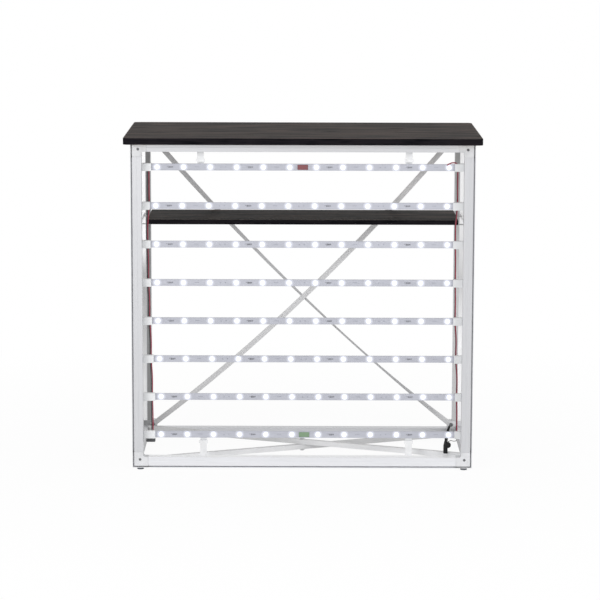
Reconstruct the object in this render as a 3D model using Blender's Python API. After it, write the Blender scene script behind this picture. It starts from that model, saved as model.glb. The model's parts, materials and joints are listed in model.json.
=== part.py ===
"""Knock-down exhibition counter: an aluminium box frame with a lift-off top, a shelf and a curtain of light bars.

Metres, +Z up. The front faces -Y, and the origin is on the floor under the middle of the counter.
"""

import math

import bmesh
import bpy
from mathutils import Matrix, Vector

for old in list(bpy.data.objects):
    bpy.data.objects.remove(old)

# Clearances
GAP = 0.0003  # between pieces that touch
FIT = 0.0003  # around a spigot, pin, stud or screw in its hole
OVERCUT = 0.002  # how far a cutter reaches past the face that it opens
ROOT = 0.006  # how far a joined shape reaches into the body that carries it

# Frame of hollow profiles
FRAME_WIDTH = 1.000
FRAME_DEPTH = 0.490
FRAME_HEIGHT = 0.966
PROFILE_FACE = 0.032
PROFILE_DEPTH = 0.032
SILL_FACE = 0.024  # the rear bottom rail is lower than the others
DEPTH_RAIL_WIDTH = 0.022
WALL = 0.002
GROOVE_EDGE = 0.002  # from the profile's outer edge to the graphic groove
GROOVE_WIDTH = 0.0035
GROOVE_DEPTH = 0.012

# Corner blocks
CORNER_ARM = 0.015
CORNER_FILLET = 0.004  # in the elbow's inner angle
CORNER_LUG = 0.0415  # width of the rear lower blocks where the strap is screwed on
SPIGOT_LENGTH = 0.025
RECESS_IN_X = 0.0225
RECESS_IN_Z = 0.0245
RECESS_DIAMETER = 0.0080
RECESS_DEPTH = 0.0030

# Levelling feet
FOOT_HEIGHT = 0.007
FOOT_DIAMETER = 0.020
FOOT_IN_X = 0.023
FOOT_EDGE = 0.001
STUD_DIAMETER = 0.006
STUD_LENGTH = 0.022

# Countertop, which drops over the top of the frame
TOP_THICKNESS = 0.019
TOP_OVERHANG = 0.020
TOP_REBATE = 0.010
TOP_REBATE_FIT = 0.0015
TOP_CORNER_RADIUS = 0.014
TOP_EDGE_RADIUS = 0.001

# Shelf on pins in two side rails
SHELF_DROP = 0.255  # from the frame's top to the shelf's top
SHELF_DEPTH = 0.250
SHELF_THICKNESS = 0.014
SHELF_SIDE_CLEARANCE = 0.004
SHELF_BACK_CLEARANCE = 0.008
SHELF_EDGE_RADIUS = 0.001
SHELF_RAIL_WIDTH = 0.014
SHELF_RAIL_HEIGHT = 0.010
PIN_DIAMETER = 0.004
PIN_IN_RAIL = 0.008
PIN_UNDER_SHELF = 0.012
PIN_INSET = 0.030  # from the shelf's front and back edges

# Light bars with lenses, held by end clips
BAR_SETBACK = 0.041  # from the frame's front to the bar's front
BAR_HEIGHT = 0.020
BAR_THICKNESS = 0.004
BAR_PITCH = 0.1134
BAR_BOTTOM = 0.092  # middle of the lowest bar above the frame's bottom
BAR_TOP_ROOM = 0.035  # least room from a bar's middle to the top rail
LENS_PITCH = 0.07726
LENS_DIAMETER = 0.015
LENS_TOP_DIAMETER = 0.009
LENS_HEIGHT = 0.004
LENS_SIDES = 8
CLIP_LENGTH = 0.026  # the stretch of clip seen beside the post
CLIP_HEIGHT = 0.023
CLIP_BACK = 0.003
CLIP_SIDE_CLEARANCE = 0.002
BAR_SHIFTS = (0.0005, -0.004, -0.0025, -0.0015, 0.0005, 0.0045, 0.0085, 0.008)  # sideways, from the top bar down

# Hangers that tie the outer bars to the rails
HANGER_IN = 0.197  # from the frame's side
HANGER_SHIFTS = {"top": 0.0055, "bottom": 0.0115}  # sideways
HANGER_WIDTH = 0.0195
HANGER_TAB_WIDTH = 0.026
HANGER_TAB_HEIGHT = 0.009
HANGER_THICKNESS = 0.0025
HANGER_LAP = 0.018
HANGER_STEP = 0.006  # from the bar's edge to the bend

# Wire pairs from bar to bar
WIRE_DIAMETER = 0.0032
WIRE_SPACING = 0.0036
WIRE_IN = 0.049  # from the frame's side
LEFT_SWAY = (0.0005, -0.0035, -0.002, 0.0005, 0.004, 0.007, 0.008)
RIGHT_SWAY = (-0.001, -0.0055, -0.0045, -0.0035, 0.000, 0.004, 0.005)
WIRE_STEPS = 3

# Crossed webbing at the back
STRAP_WIDTH = 0.016
STRAP_THICKNESS = 0.0012
STRAP_IN_X = 0.035
STRAP_TOP_IN_Z = 0.028
STRAP_BOTTOM_IN_Z = 0.0355
STRAP_TAIL = 0.007
FLAT_SAG = 0.050
TWISTED_SAG = 0.046
TWIST_END = 0.97  # where along the strap the half turn is done
TWIST_EVEN = 0.68  # share of the half turn that is even along the strap
TWIST_LATE = 14  # power of the way along by which the rest comes
STRAP_CLEARANCE = 0.002
STRAP_STEPS = 64
SCREW_HEAD_DIAMETER = 0.009
SCREW_HEAD_HEIGHT = 0.0025
SCREW_DIAMETER = 0.004
SCREW_LENGTH = 0.012

# Crossed bars in the base
BASE_BAR = 0.015
BASE_BAR_RISE = 0.0045
BASE_BAR_IN_Y = 0.052  # from the frame's front or back to the bar's end on the depth rail
BOLT_DIAMETER = 0.006
BOLT_HEAD_DIAMETER = 0.012
BOLT_HEAD_HEIGHT = 0.004

# Black lead from the rear corner to its connector behind the lowest bar
LEAD_DIAMETER = 0.006
LEAD_STEPS = 2
LEAD_IN_X = 0.043
LEAD_IN_Z = 0.027
CONNECTOR_DIAMETER = 0.013
CONNECTOR_LENGTH = 0.037
CONNECTOR_BOSS_DIAMETER = 0.018
CONNECTOR_BOSS_LENGTH = 0.010
CONNECTOR_BOSS_OUT = 0.007
CONNECTOR_BOSS_DROP = 0.012
TAIL_DIAMETER = 0.0018
TAIL_STEPS = 3
TAIL_OUT = 0.0085
TAIL_DROP = 0.0015

# Sides of round pieces
SIDES = 16
PIN_SIDES = 10

# Places that follow from the sizes
HALF_WIDTH = FRAME_WIDTH / 2
HALF_DEPTH = FRAME_DEPTH / 2
FRAME_BOTTOM = FOOT_HEIGHT
FRAME_TOP = FRAME_BOTTOM + FRAME_HEIGHT
GROOVE_IN = GROOVE_EDGE + GROOVE_WIDTH
CORE_LOW = GROOVE_IN + WALL
CORNER_REACH = PROFILE_FACE + CORNER_ARM
FRONT_INSIDE = -HALF_DEPTH + PROFILE_DEPTH
BACK_INSIDE = HALF_DEPTH - PROFILE_DEPTH
SIDES_OF = {"left": -1, "right": 1}
FACES_OF = {"front": -1, "rear": 1}
LEVELS_OF = {"bottom": (FRAME_BOTTOM, 1), "top": (FRAME_TOP, -1)}

COUNTER = bpy.data.objects.new("counter", None)
bpy.context.scene.collection.objects.link(COUNTER)


def finish(name, colour, roughness, metallic=0.0):
    """A plain material with one colour."""
    material = bpy.data.materials.new(name)
    material.use_nodes = True
    shader = material.node_tree.nodes["Principled BSDF"]
    shader.inputs["Base Color"].default_value = (*colour, 1.0)
    shader.inputs["Roughness"].default_value = roughness
    shader.inputs["Metallic"].default_value = metallic
    return material


ALUMINIUM = finish("satin aluminium", (0.70, 0.71, 0.73), 0.45, 0.6)
CORNER_CAST = finish("cast corner", (0.72, 0.73, 0.75), 0.5, 0.4)
STEEL = finish("zinc steel", (0.45, 0.46, 0.48), 0.4, 1.0)
TOP_LAMINATE = finish("dark wood-grain laminate", (0.035, 0.03, 0.03), 0.55)
SHELF_LAMINATE = finish("black laminate", (0.02, 0.02, 0.02), 0.5)
BAR_WHITE = finish("white light bar", (0.62, 0.63, 0.72), 0.4)
HANGER_PLASTIC = finish("white plastic", (0.75, 0.76, 0.77), 0.5)
RED_PVC = finish("red wire", (0.35, 0.02, 0.03), 0.45)
BLACK_PVC = finish("black wire", (0.015, 0.015, 0.015), 0.5)
WEBBING = finish("grey webbing", (0.40, 0.40, 0.41), 0.85)
RUBBER = finish("dark foot", (0.06, 0.06, 0.065), 0.7)


def mesh_of(bm):
    """A mesh of the closed shape, facing out."""
    bmesh.ops.recalc_face_normals(bm, faces=bm.faces)
    mesh = bpy.data.meshes.new("piece")
    bm.to_mesh(mesh)
    bm.free()
    return mesh


def add(name, mesh, material, location=(0, 0, 0), round_piece=False):
    """A named piece of the counter."""
    piece = bpy.data.objects.new(name, mesh)
    bpy.context.scene.collection.objects.link(piece)
    piece.parent = COUNTER
    piece.location = location
    if not mesh.materials:
        mesh.materials.append(material)
    if round_piece:
        mesh.shade_smooth()
        mesh.set_sharp_from_angle(angle=math.radians(35))
    return piece


def box(low, high):
    """A block between two opposite corners."""
    low, high = Vector(low), Vector(high)
    bm = bmesh.new()
    bmesh.ops.create_cube(bm, size=1.0)
    bmesh.ops.scale(bm, vec=high - low, verts=bm.verts)
    bmesh.ops.translate(bm, vec=(low + high) / 2, verts=bm.verts)
    return mesh_of(bm)


def rod(start, end, diameter, sides, end_diameter=None):
    """A round bar, or a cone, between two points."""
    start, end = Vector(start), Vector(end)
    along = end - start
    bm = bmesh.new()
    bmesh.ops.create_cone(
        bm,
        cap_ends=True,
        segments=sides,
        radius1=diameter / 2,
        radius2=(end_diameter or diameter) / 2,
        depth=along.length,
    )
    turn = Vector((0, 0, 1)).rotation_difference(along).to_matrix().to_4x4()
    bmesh.ops.transform(bm, matrix=Matrix.Translation((start + end) / 2) @ turn, verts=bm.verts)
    return mesh_of(bm)


def turned(profile, sides):
    """A solid of revolution about Z from (radius, height) points that start and end on the axis."""
    bm = bmesh.new()
    verts = [bm.verts.new((radius, 0, height)) for radius, height in profile]
    edges = [bm.edges.new(pair) for pair in zip(verts, verts[1:])]
    bmesh.ops.spin(
        bm, geom=verts + edges, cent=(0, 0, 0), axis=(0, 0, 1), angle=math.tau, steps=sides, use_merge=True
    )
    bmesh.ops.remove_doubles(bm, verts=bm.verts, dist=1e-6)
    return mesh_of(bm)


def extruded(outline, hole, length, across, inward, along):
    """A bar of the outline, drawn out along its length, with the hole running through it."""
    bm = bmesh.new()
    caps = {-1: [], 1: []}
    for loop in filter(None, (outline, hole)):
        rings = {}
        for end in caps:
            shift = along * (end * length / 2)
            rings[end] = [bm.verts.new(across * u + inward * v + shift) for u, v in loop]
        for i, j in zip(range(len(loop)), [*range(1, len(loop)), 0]):
            bm.faces.new((rings[-1][i], rings[-1][j], rings[1][j], rings[1][i]))
            for end, ring in rings.items():
                caps[end].append(bm.edges.get((ring[i], ring[j])))
    for edges in caps.values():
        bmesh.ops.triangle_fill(bm, edges=edges, use_beauty=True)
    return mesh_of(bm)


def shaped(base, *steps):
    """The base mesh after each (operation, mesh) step, UNION or DIFFERENCE or INTERSECT."""
    target = bpy.data.objects.new("work", base)
    helpers = []
    for operation, mesh in steps:
        helper = bpy.data.objects.new("helper", mesh)
        helper.hide_render = True
        helper.display_type = "WIRE"
        helpers.append(helper)
        modifier = target.modifiers.new(operation, "BOOLEAN")
        modifier.operation = operation
        modifier.object = helper
    for work in (target, *helpers):
        bpy.context.scene.collection.objects.link(work)
    bpy.context.view_layer.update()
    graph = bpy.context.evaluated_depsgraph_get()
    result = bpy.data.meshes.new_from_object(target.evaluated_get(graph))
    for work in (target, *helpers):
        bpy.data.objects.remove(work)
    return result


def softened(mesh, radius, segments, keep):
    """The mesh with a round on each edge whose direction passes the test."""
    bm = bmesh.new()
    bm.from_mesh(mesh)
    edges = [e for e in bm.edges if keep((e.verts[1].co - e.verts[0].co).normalized(), e)]
    bmesh.ops.bevel(bm, geom=edges, offset=radius, segments=segments, profile=0.5, affect="EDGES")
    return mesh_of(bm)


def smooth_route(points, steps):
    """Points read from a smooth curve through the route's own points."""
    points = [Vector(p) for p in points]
    ends = [2 * points[0] - points[1], *points, 2 * points[-1] - points[-2]]
    route = []
    for before, start, end, after in zip(ends, ends[1:], ends[2:], ends[3:]):
        for step in range(steps):
            t = step / steps
            pull = (end - before) * t + (2 * before - 5 * start + 4 * end - after) * t**2
            route.append(start + (pull + (3 * start - before - 3 * end + after) * t**3) / 2)
    route.append(points[-1])
    return route


def tube(name, route, diameter, material):
    """A wire along the route, with closed ends."""
    curve = bpy.data.curves.new(name, "CURVE")
    curve.dimensions = "3D"
    curve.bevel_depth = diameter / 2
    curve.bevel_resolution = 2
    curve.use_fill_caps = True
    spline = curve.splines.new("POLY")
    spline.points.add(len(route) - 1)
    for point, place in zip(spline.points, route):
        point.co = (*place, 1.0)
    curve.materials.append(material)
    wire = bpy.data.objects.new(name, curve)
    bpy.context.scene.collection.objects.link(wire)
    wire.parent = COUNTER
    return wire


X_AXIS = Vector((1, 0, 0))
Y_AXIS = Vector((0, 1, 0))
Z_AXIS = Vector((0, 0, 1))


# Hollow posts and rails, with the graphic groove beside their outer edge
def rectangle(u_low, v_low, u_high, v_high):
    return [(u_low, v_low), (u_high, v_low), (u_high, v_high), (u_low, v_high)]


def profile_mesh(face, length, across, inward, along):
    """A length of the profile that is one face wide."""
    outline = [
        (0, 0),
        (GROOVE_EDGE, 0),
        (GROOVE_EDGE, GROOVE_DEPTH),
        (GROOVE_IN, GROOVE_DEPTH),
        (GROOVE_IN, 0),
        (face, 0),
        (face, PROFILE_DEPTH),
        (0, PROFILE_DEPTH),
    ]
    core = rectangle(CORE_LOW, WALL, face - WALL, PROFILE_DEPTH - WALL)
    return extruded(outline, core, length, across, inward, along)


RAIL_INSIDE = HALF_WIDTH - DEPTH_RAIL_WIDTH
POST_LENGTH = FRAME_HEIGHT - 2 * (CORNER_REACH + GAP)
RAIL_LENGTH = FRAME_WIDTH - 2 * (CORNER_REACH + GAP)
DEPTH_LENGTH = FRAME_DEPTH - 2 * (PROFILE_DEPTH + GAP)


def posts():
    for face, y_side in FACES_OF.items():
        for side, x_side in SIDES_OF.items():
            mesh = profile_mesh(PROFILE_FACE, POST_LENGTH, -x_side * X_AXIS, -y_side * Y_AXIS, Z_AXIS)
            place = (x_side * HALF_WIDTH, y_side * HALF_DEPTH, (FRAME_BOTTOM + FRAME_TOP) / 2)
            add(f"{face}_{side}_post", mesh, ALUMINIUM, place)


def is_sill(face, level):
    return face == "rear" and level == "bottom"


def rails():
    for face, y_side in FACES_OF.items():
        for level, (edge, up) in LEVELS_OF.items():
            width = SILL_FACE if is_sill(face, level) else PROFILE_FACE
            mesh = profile_mesh(width, RAIL_LENGTH, up * Z_AXIS, -y_side * Y_AXIS, X_AXIS)
            add(f"{face}_{level}_rail", mesh, ALUMINIUM, (0, y_side * HALF_DEPTH, edge))


def depth_rails():
    outline = rectangle(0, 0, DEPTH_RAIL_WIDTH, PROFILE_FACE)
    core = rectangle(WALL, WALL, DEPTH_RAIL_WIDTH - WALL, PROFILE_FACE - WALL)
    for side, x_side in SIDES_OF.items():
        for level, (edge, up) in LEVELS_OF.items():
            mesh = extruded(outline, core, DEPTH_LENGTH, -x_side * X_AXIS, up * Z_AXIS, Y_AXIS)
            add(f"{side}_{level}_depth_rail", mesh, ALUMINIUM, (x_side * HALF_WIDTH, 0, edge))


posts()
rails()
depth_rails()


# Corner blocks: an elbow with three spigots that plug into the profiles
def corner_mesh(inner_angle, rail_face):
    """One block, measured inwards from the frame's outer corner, with the points of its inner angle."""
    outline = [(0, 0), (CORNER_REACH, 0), (CORNER_REACH, PROFILE_FACE), *inner_angle, (0, CORNER_REACH)]
    elbow = extruded(outline, None, PROFILE_DEPTH, X_AXIS, Z_AXIS, Y_AXIS)
    elbow.transform(Matrix.Translation((0, PROFILE_DEPTH / 2, 0)))
    core_low = CORE_LOW + FIT
    post_high, rail_high = (face - WALL - FIT for face in (PROFILE_FACE, rail_face))
    near, far = WALL + FIT, PROFILE_DEPTH - WALL - FIT
    inner, outer = CORNER_REACH - ROOT, CORNER_REACH + SPIGOT_LENGTH
    x_spigot = box((inner, near, core_low), (outer, far, rail_high))
    z_spigot = box((core_low, near, inner), (post_high, far, outer))
    y_spigot = box(
        (WALL + FIT, PROFILE_DEPTH - ROOT, WALL + FIT),
        (DEPTH_RAIL_WIDTH - WALL - FIT, PROFILE_DEPTH + SPIGOT_LENGTH, PROFILE_FACE - WALL - FIT),
    )
    groove_start = (GROOVE_EDGE, -OVERCUT, GROOVE_EDGE)
    along_rail = box(groove_start, (CORNER_REACH + OVERCUT, GROOVE_DEPTH, GROOVE_IN))
    along_post = box(groove_start, (GROOVE_IN, GROOVE_DEPTH, CORNER_REACH + OVERCUT))
    recess = rod(
        (RECESS_IN_X, -OVERCUT, RECESS_IN_Z), (RECESS_IN_X, RECESS_DEPTH, RECESS_IN_Z), RECESS_DIAMETER, SIDES
    )
    joined = [("UNION", spigot) for spigot in (x_spigot, y_spigot, z_spigot)]
    cuts = [("DIFFERENCE", cutter) for cutter in (along_rail, along_post, recess)]
    return shaped(elbow, *joined, *cuts)


def foot_bore():
    foot_y = PROFILE_DEPTH / 2
    hole = STUD_DIAMETER + 2 * FIT
    return rod((FOOT_IN_X, foot_y, -OVERCUT), (FOOT_IN_X, foot_y, STUD_LENGTH + FIT), hole, SIDES)


def strap_bore(in_z):
    start = Vector((STRAP_IN_X, PROFILE_DEPTH + OVERCUT, in_z))
    end = Vector((STRAP_IN_X, PROFILE_DEPTH - SCREW_LENGTH - FIT, in_z))
    return rod(start, end, SCREW_DIAMETER + 2 * FIT, PIN_SIDES)


def corners():
    filleted = PROFILE_FACE + CORNER_FILLET
    filled = [(filleted, PROFILE_FACE), (PROFILE_FACE, filleted), (PROFILE_FACE, CORNER_REACH)]
    elbow = corner_mesh(filled, PROFILE_FACE)
    lugged = corner_mesh([(CORNER_LUG, PROFILE_FACE), (CORNER_LUG, CORNER_REACH)], SILL_FACE)
    for face, y_side in FACES_OF.items():
        for side, x_side in SIDES_OF.items():
            for level, (edge, up) in LEVELS_OF.items():
                block = lugged if is_sill(face, level) else elbow
                cuts = []
                if level == "bottom":
                    cuts.append(("DIFFERENCE", foot_bore()))
                if face == "rear":
                    in_z = STRAP_BOTTOM_IN_Z if level == "bottom" else STRAP_TOP_IN_Z
                    cuts.append(("DIFFERENCE", strap_bore(in_z)))
                mesh = shaped(block.copy(), *cuts)
                mesh.transform(Matrix.Diagonal((-x_side, -y_side, up, 1)))
                if x_side * y_side * up < 0:
                    mesh.flip_normals()
                place = (x_side * HALF_WIDTH, y_side * HALF_DEPTH, edge)
                add(f"{face}_{side}_{level}_corner", mesh, CORNER_CAST, place)


corners()


# Levelling feet: a pad with a threaded stud in the corner block
def feet():
    radius = FOOT_DIAMETER / 2
    seat = FOOT_HEIGHT - GAP
    profile = [
        (0, 0),
        (radius - FOOT_EDGE, 0),
        (radius, FOOT_EDGE),
        (radius, seat),
        (STUD_DIAMETER / 2, seat),
        (STUD_DIAMETER / 2, FOOT_HEIGHT + STUD_LENGTH - FIT),
        (0, FOOT_HEIGHT + STUD_LENGTH - FIT),
    ]
    mesh = turned(profile, SIDES)
    for face, y_side in FACES_OF.items():
        for side, x_side in SIDES_OF.items():
            place = (x_side * (HALF_WIDTH - FOOT_IN_X), y_side * (HALF_DEPTH - PROFILE_DEPTH / 2), 0)
            add(f"{face}_{side}_foot", mesh, RUBBER, place, round_piece=True)


feet()


# Countertop: a board with a rebate underneath that sits over the frame
def countertop():
    half_x = HALF_WIDTH + TOP_OVERHANG
    half_y = HALF_DEPTH + TOP_OVERHANG
    board = box((-half_x, -half_y, 0), (half_x, half_y, TOP_THICKNESS))
    board = softened(board, TOP_CORNER_RADIUS, 5, lambda along, edge: abs(along.z) > 0.5)
    board = softened(board, TOP_EDGE_RADIUS, 2, lambda along, edge: is_rim(edge))
    pocket = box(
        (-HALF_WIDTH - TOP_REBATE_FIT, -HALF_DEPTH - TOP_REBATE_FIT, -OVERCUT),
        (HALF_WIDTH + TOP_REBATE_FIT, HALF_DEPTH + TOP_REBATE_FIT, TOP_REBATE + GAP),
    )
    mesh = shaped(board, ("DIFFERENCE", pocket))
    add("countertop", mesh, TOP_LAMINATE, (0, 0, FRAME_TOP - TOP_REBATE))


def is_rim(edge):
    """Whether the edge runs round a board's top or bottom face."""
    faces = [face.normal for face in edge.link_faces]
    return sum(abs(normal.z) > 0.9 for normal in faces) == 1


countertop()

# Shelf: a board that lies on four pins in two side rails
SHELF_TOP = FRAME_TOP - SHELF_DROP
SHELF_UNDERSIDE = SHELF_TOP - SHELF_THICKNESS
SHELF_BACK = BACK_INSIDE - SHELF_BACK_CLEARANCE
SHELF_FRONT = SHELF_BACK - SHELF_DEPTH
SHELF_HALF = HALF_WIDTH - PROFILE_FACE - SHELF_SIDE_CLEARANCE
PIN_HEIGHT = SHELF_UNDERSIDE - GAP - PIN_DIAMETER / 2
PIN_PLACES = {"front": SHELF_FRONT + PIN_INSET, "rear": SHELF_BACK - PIN_INSET}
PIN_SEAT = HALF_WIDTH - SHELF_RAIL_WIDTH


def shelf():
    half_depth = SHELF_DEPTH / 2
    half_thick = SHELF_THICKNESS / 2
    board = box((-SHELF_HALF, -half_depth, -half_thick), (SHELF_HALF, half_depth, half_thick))
    mesh = softened(board, SHELF_EDGE_RADIUS, 1, lambda along, edge: True)
    add("shelf", mesh, SHELF_LAMINATE, (0, SHELF_FRONT + half_depth, SHELF_TOP - half_thick))


def shelf_rails():
    half_length = DEPTH_LENGTH / 2
    half_height = SHELF_RAIL_HEIGHT / 2
    for side, x_side in SIDES_OF.items():
        inner, outer = sorted((x_side * PIN_SEAT, x_side * HALF_WIDTH))
        bar = box((inner, -half_length, -half_height), (outer, half_length, half_height))
        cuts = []
        for y in PIN_PLACES.values():
            start = (x_side * (PIN_SEAT - OVERCUT), y, 0)
            end = (x_side * (PIN_SEAT + PIN_IN_RAIL + FIT), y, 0)
            cuts.append(("DIFFERENCE", rod(start, end, PIN_DIAMETER + 2 * FIT, SIDES)))
        add(f"{side}_shelf_rail", shaped(bar, *cuts), ALUMINIUM, (0, 0, PIN_HEIGHT))


def shelf_pins():
    for side, x_side in SIDES_OF.items():
        for place, y in PIN_PLACES.items():
            inner = Vector((x_side * (SHELF_HALF - PIN_UNDER_SHELF), 0, 0))
            outer = Vector((x_side * (PIN_SEAT + PIN_IN_RAIL), 0, 0))
            mesh = rod(inner, outer, PIN_DIAMETER, SIDES)
            add(f"{place}_{side}_shelf_pin", mesh, STEEL, (0, y, PIN_HEIGHT), round_piece=True)


shelf()
shelf_rails()
shelf_pins()

# Light bars, each with its row of lenses and an end clip behind either post
BAR_HALF = HALF_WIDTH - PROFILE_FACE - CLIP_LENGTH
BAR_FRONT = -HALF_DEPTH + BAR_SETBACK
BAR_BACK = BAR_FRONT + BAR_THICKNESS
BAR_ROOM = FRAME_HEIGHT - PROFILE_FACE - BAR_TOP_ROOM - BAR_BOTTOM
BAR_COUNT = int(BAR_ROOM / BAR_PITCH) + 1
BAR_HEIGHTS = [FRAME_BOTTOM + BAR_BOTTOM + i * BAR_PITCH for i in range(BAR_COUNT)]
LENS_COUNT = int((2 * BAR_HALF - LENS_DIAMETER) / LENS_PITCH) + 1
CLIP_OUTER = RAIL_INSIDE - CLIP_SIDE_CLEARANCE


def lens_row():
    """All lenses of one bar, as the base of each reaches into the bar."""
    bm = bmesh.new()
    for i in range(LENS_COUNT):
        x = (i - (LENS_COUNT - 1) / 2) * LENS_PITCH
        base = (x, BAR_THICKNESS / 2, 0)
        lens = rod(base, (x, -LENS_HEIGHT, 0), LENS_DIAMETER, LENS_SIDES, LENS_TOP_DIAMETER)
        bm.from_mesh(lens)
    return mesh_of(bm)


def bar_mesh():
    """One bar about the middle of its front face."""
    body = box(
        (-BAR_HALF - ROOT, 0, -BAR_HEIGHT / 2), (BAR_HALF + ROOT, BAR_THICKNESS, BAR_HEIGHT / 2)
    )
    clip_front = FRONT_INSIDE + GAP - BAR_FRONT
    clip_back = BAR_THICKNESS + CLIP_BACK
    clips = [
        box((BAR_HALF, clip_front, -CLIP_HEIGHT / 2), (CLIP_OUTER, clip_back, CLIP_HEIGHT / 2)),
        box((-CLIP_OUTER, clip_front, -CLIP_HEIGHT / 2), (-BAR_HALF, clip_back, CLIP_HEIGHT / 2)),
    ]
    return shaped(body, ("UNION", lens_row()), *[("UNION", clip) for clip in clips])


def light_bars():
    mesh = bar_mesh()
    for number, height in enumerate(reversed(BAR_HEIGHTS), start=1):
        shift = BAR_SHIFTS[(number - 1) % len(BAR_SHIFTS)]
        add(f"light_bar_{number}", mesh, BAR_WHITE, (shift, BAR_FRONT, height))


light_bars()


# Hangers: a strip bent from behind the rail to behind the bar, with a wide tab at the bend
def hangers():
    rail_y = FRONT_INSIDE + GAP
    bar_y = BAR_BACK + GAP
    thick = HANGER_THICKNESS
    ends = {
        "top": (FRAME_TOP - PROFILE_FACE, BAR_HEIGHTS[-1], 1),
        "bottom": (FRAME_BOTTOM + PROFILE_FACE, BAR_HEIGHTS[0], -1),
    }
    for level, (rail_edge, bar_middle, up) in ends.items():
        reach = up * (rail_edge - bar_middle) + HANGER_LAP
        bend = BAR_HEIGHT / 2 + HANGER_STEP
        strip = [
            (rail_y, reach),
            (rail_y + thick, reach),
            (rail_y + thick, bend + thick),
            (bar_y + thick, bend + thick),
            (bar_y + thick, -BAR_HEIGHT / 2),
            (bar_y, -BAR_HEIGHT / 2),
            (bar_y, bend),
            (rail_y, bend),
        ]
        mesh = extruded(strip, None, HANGER_WIDTH, Y_AXIS, up * Z_AXIS, X_AXIS)
        half = HANGER_TAB_WIDTH / 2
        tab_low = Vector((-half, rail_y, up * bend))
        tab_high = Vector((half, rail_y + thick, up * (bend + HANGER_TAB_HEIGHT)))
        tab = box(
            [min(pair) for pair in zip(tab_low, tab_high)],
            [max(pair) for pair in zip(tab_low, tab_high)],
        )
        mesh = shaped(mesh, ("UNION", tab))
        for side, x_side in SIDES_OF.items():
            place = (x_side * (HALF_WIDTH - HANGER_IN) + HANGER_SHIFTS[level], 0, bar_middle)
            add(f"{level}_{side}_hanger", mesh, HANGER_PLASTIC, place)


hangers()


# Wire pairs that run down behind the clips and sway a little between the bars
def wires():
    """The red wires, with the black one beside the left red one and behind the right red one."""
    heights = list(reversed(BAR_HEIGHTS))
    wire_y = BAR_BACK + CLIP_BACK + GAP + WIRE_DIAMETER / 2
    for side, sway, beside in (
        ("left", LEFT_SWAY, -WIRE_SPACING * X_AXIS),
        ("right", RIGHT_SWAY, WIRE_SPACING * Y_AXIS),
    ):
        middle = SIDES_OF[side] * (HALF_WIDTH - WIRE_IN) + WIRE_SPACING / 2
        points = []
        for i, (upper, lower) in enumerate(zip(heights, heights[1:])):
            drift = sway[i % len(sway)]
            points.append(Vector((middle + sway[max(i - 1, 0) % len(sway)], wire_y, upper)))
            points.append(Vector((middle + drift, wire_y, (upper + lower) / 2)))
        points.append(Vector((middle + drift, wire_y, heights[-1])))
        for colour, material, shift in (("red", RED_PVC, 0 * beside), ("black", BLACK_PVC, beside)):
            route = smooth_route([point + shift for point in points], WIRE_STEPS)
            tube(f"{side}_{colour}_wire", route, WIRE_DIAMETER, material)


wires()

# Crossed webbing between the rear corners, one strap flat and one with a half twist
STRAP_Y = BACK_INSIDE - GAP - STRAP_THICKNESS / 2
STRAP_X = HALF_WIDTH - STRAP_IN_X
STRAP_HIGH = FRAME_TOP - STRAP_TOP_IN_Z
STRAP_LOW = FRAME_BOTTOM + STRAP_BOTTOM_IN_Z


def strap_mesh(x_side, half_turns, sag, bow):
    """A strap from the top corner on one side to the bottom corner on the other."""
    start = Vector((x_side * STRAP_X, STRAP_Y, STRAP_HIGH))
    end = Vector((-x_side * STRAP_X, STRAP_Y, STRAP_LOW))
    tail = STRAP_TAIL / (end - start).length

    def centre(t):
        inside = min(max(t, 0), 1)
        back = bow * math.sin(math.pi * inside) ** 2
        return start.lerp(end, t) + Vector((0, back, -4 * sag * t * (1 - t)))

    bm = bmesh.new()
    rings = []
    for step in range(STRAP_STEPS + 1):
        t = -tail + step / STRAP_STEPS * (1 + 2 * tail)
        along = (centre(t + tail) - centre(t - tail)).normalized()
        way = min(max(t / TWIST_END, 0), 1)
        turned_by = half_turns * math.pi * (TWIST_EVEN * way + (1 - TWIST_EVEN) * way**TWIST_LATE)
        turn = Matrix.Rotation(turned_by, 3, along)
        wide = turn @ along.cross(Y_AXIS).normalized() * (STRAP_WIDTH / 2)
        thick = along.cross(wide).normalized() * (STRAP_THICKNESS / 2)
        corners_of = (wide + thick, wide - thick, -wide - thick, -wide + thick)
        rings.append([bm.verts.new(centre(t) + corner) for corner in corners_of])
    for ring, following in zip(rings, rings[1:]):
        for i in range(4):
            j = (i + 1) % 4
            bm.faces.new((ring[i], ring[j], following[j], following[i]))
    bm.faces.new(rings[0])
    bm.faces.new(rings[-1])
    holes = [screw_hole(start), screw_hole(end)]
    return shaped(mesh_of(bm), *[("DIFFERENCE", hole) for hole in holes])


def screw_hole(anchor):
    reach = Y_AXIS * (STRAP_THICKNESS + OVERCUT)
    return rod(anchor - reach, anchor + reach, SCREW_DIAMETER + 2 * FIT, PIN_SIDES)


def straps():
    bow = (STRAP_WIDTH + STRAP_THICKNESS) / 2 + STRAP_CLEARANCE
    add("flat_strap", strap_mesh(1, 0, FLAT_SAG, 0.0), WEBBING)
    add("twisted_strap", strap_mesh(-1, 1, TWISTED_SAG, bow), WEBBING)


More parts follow.
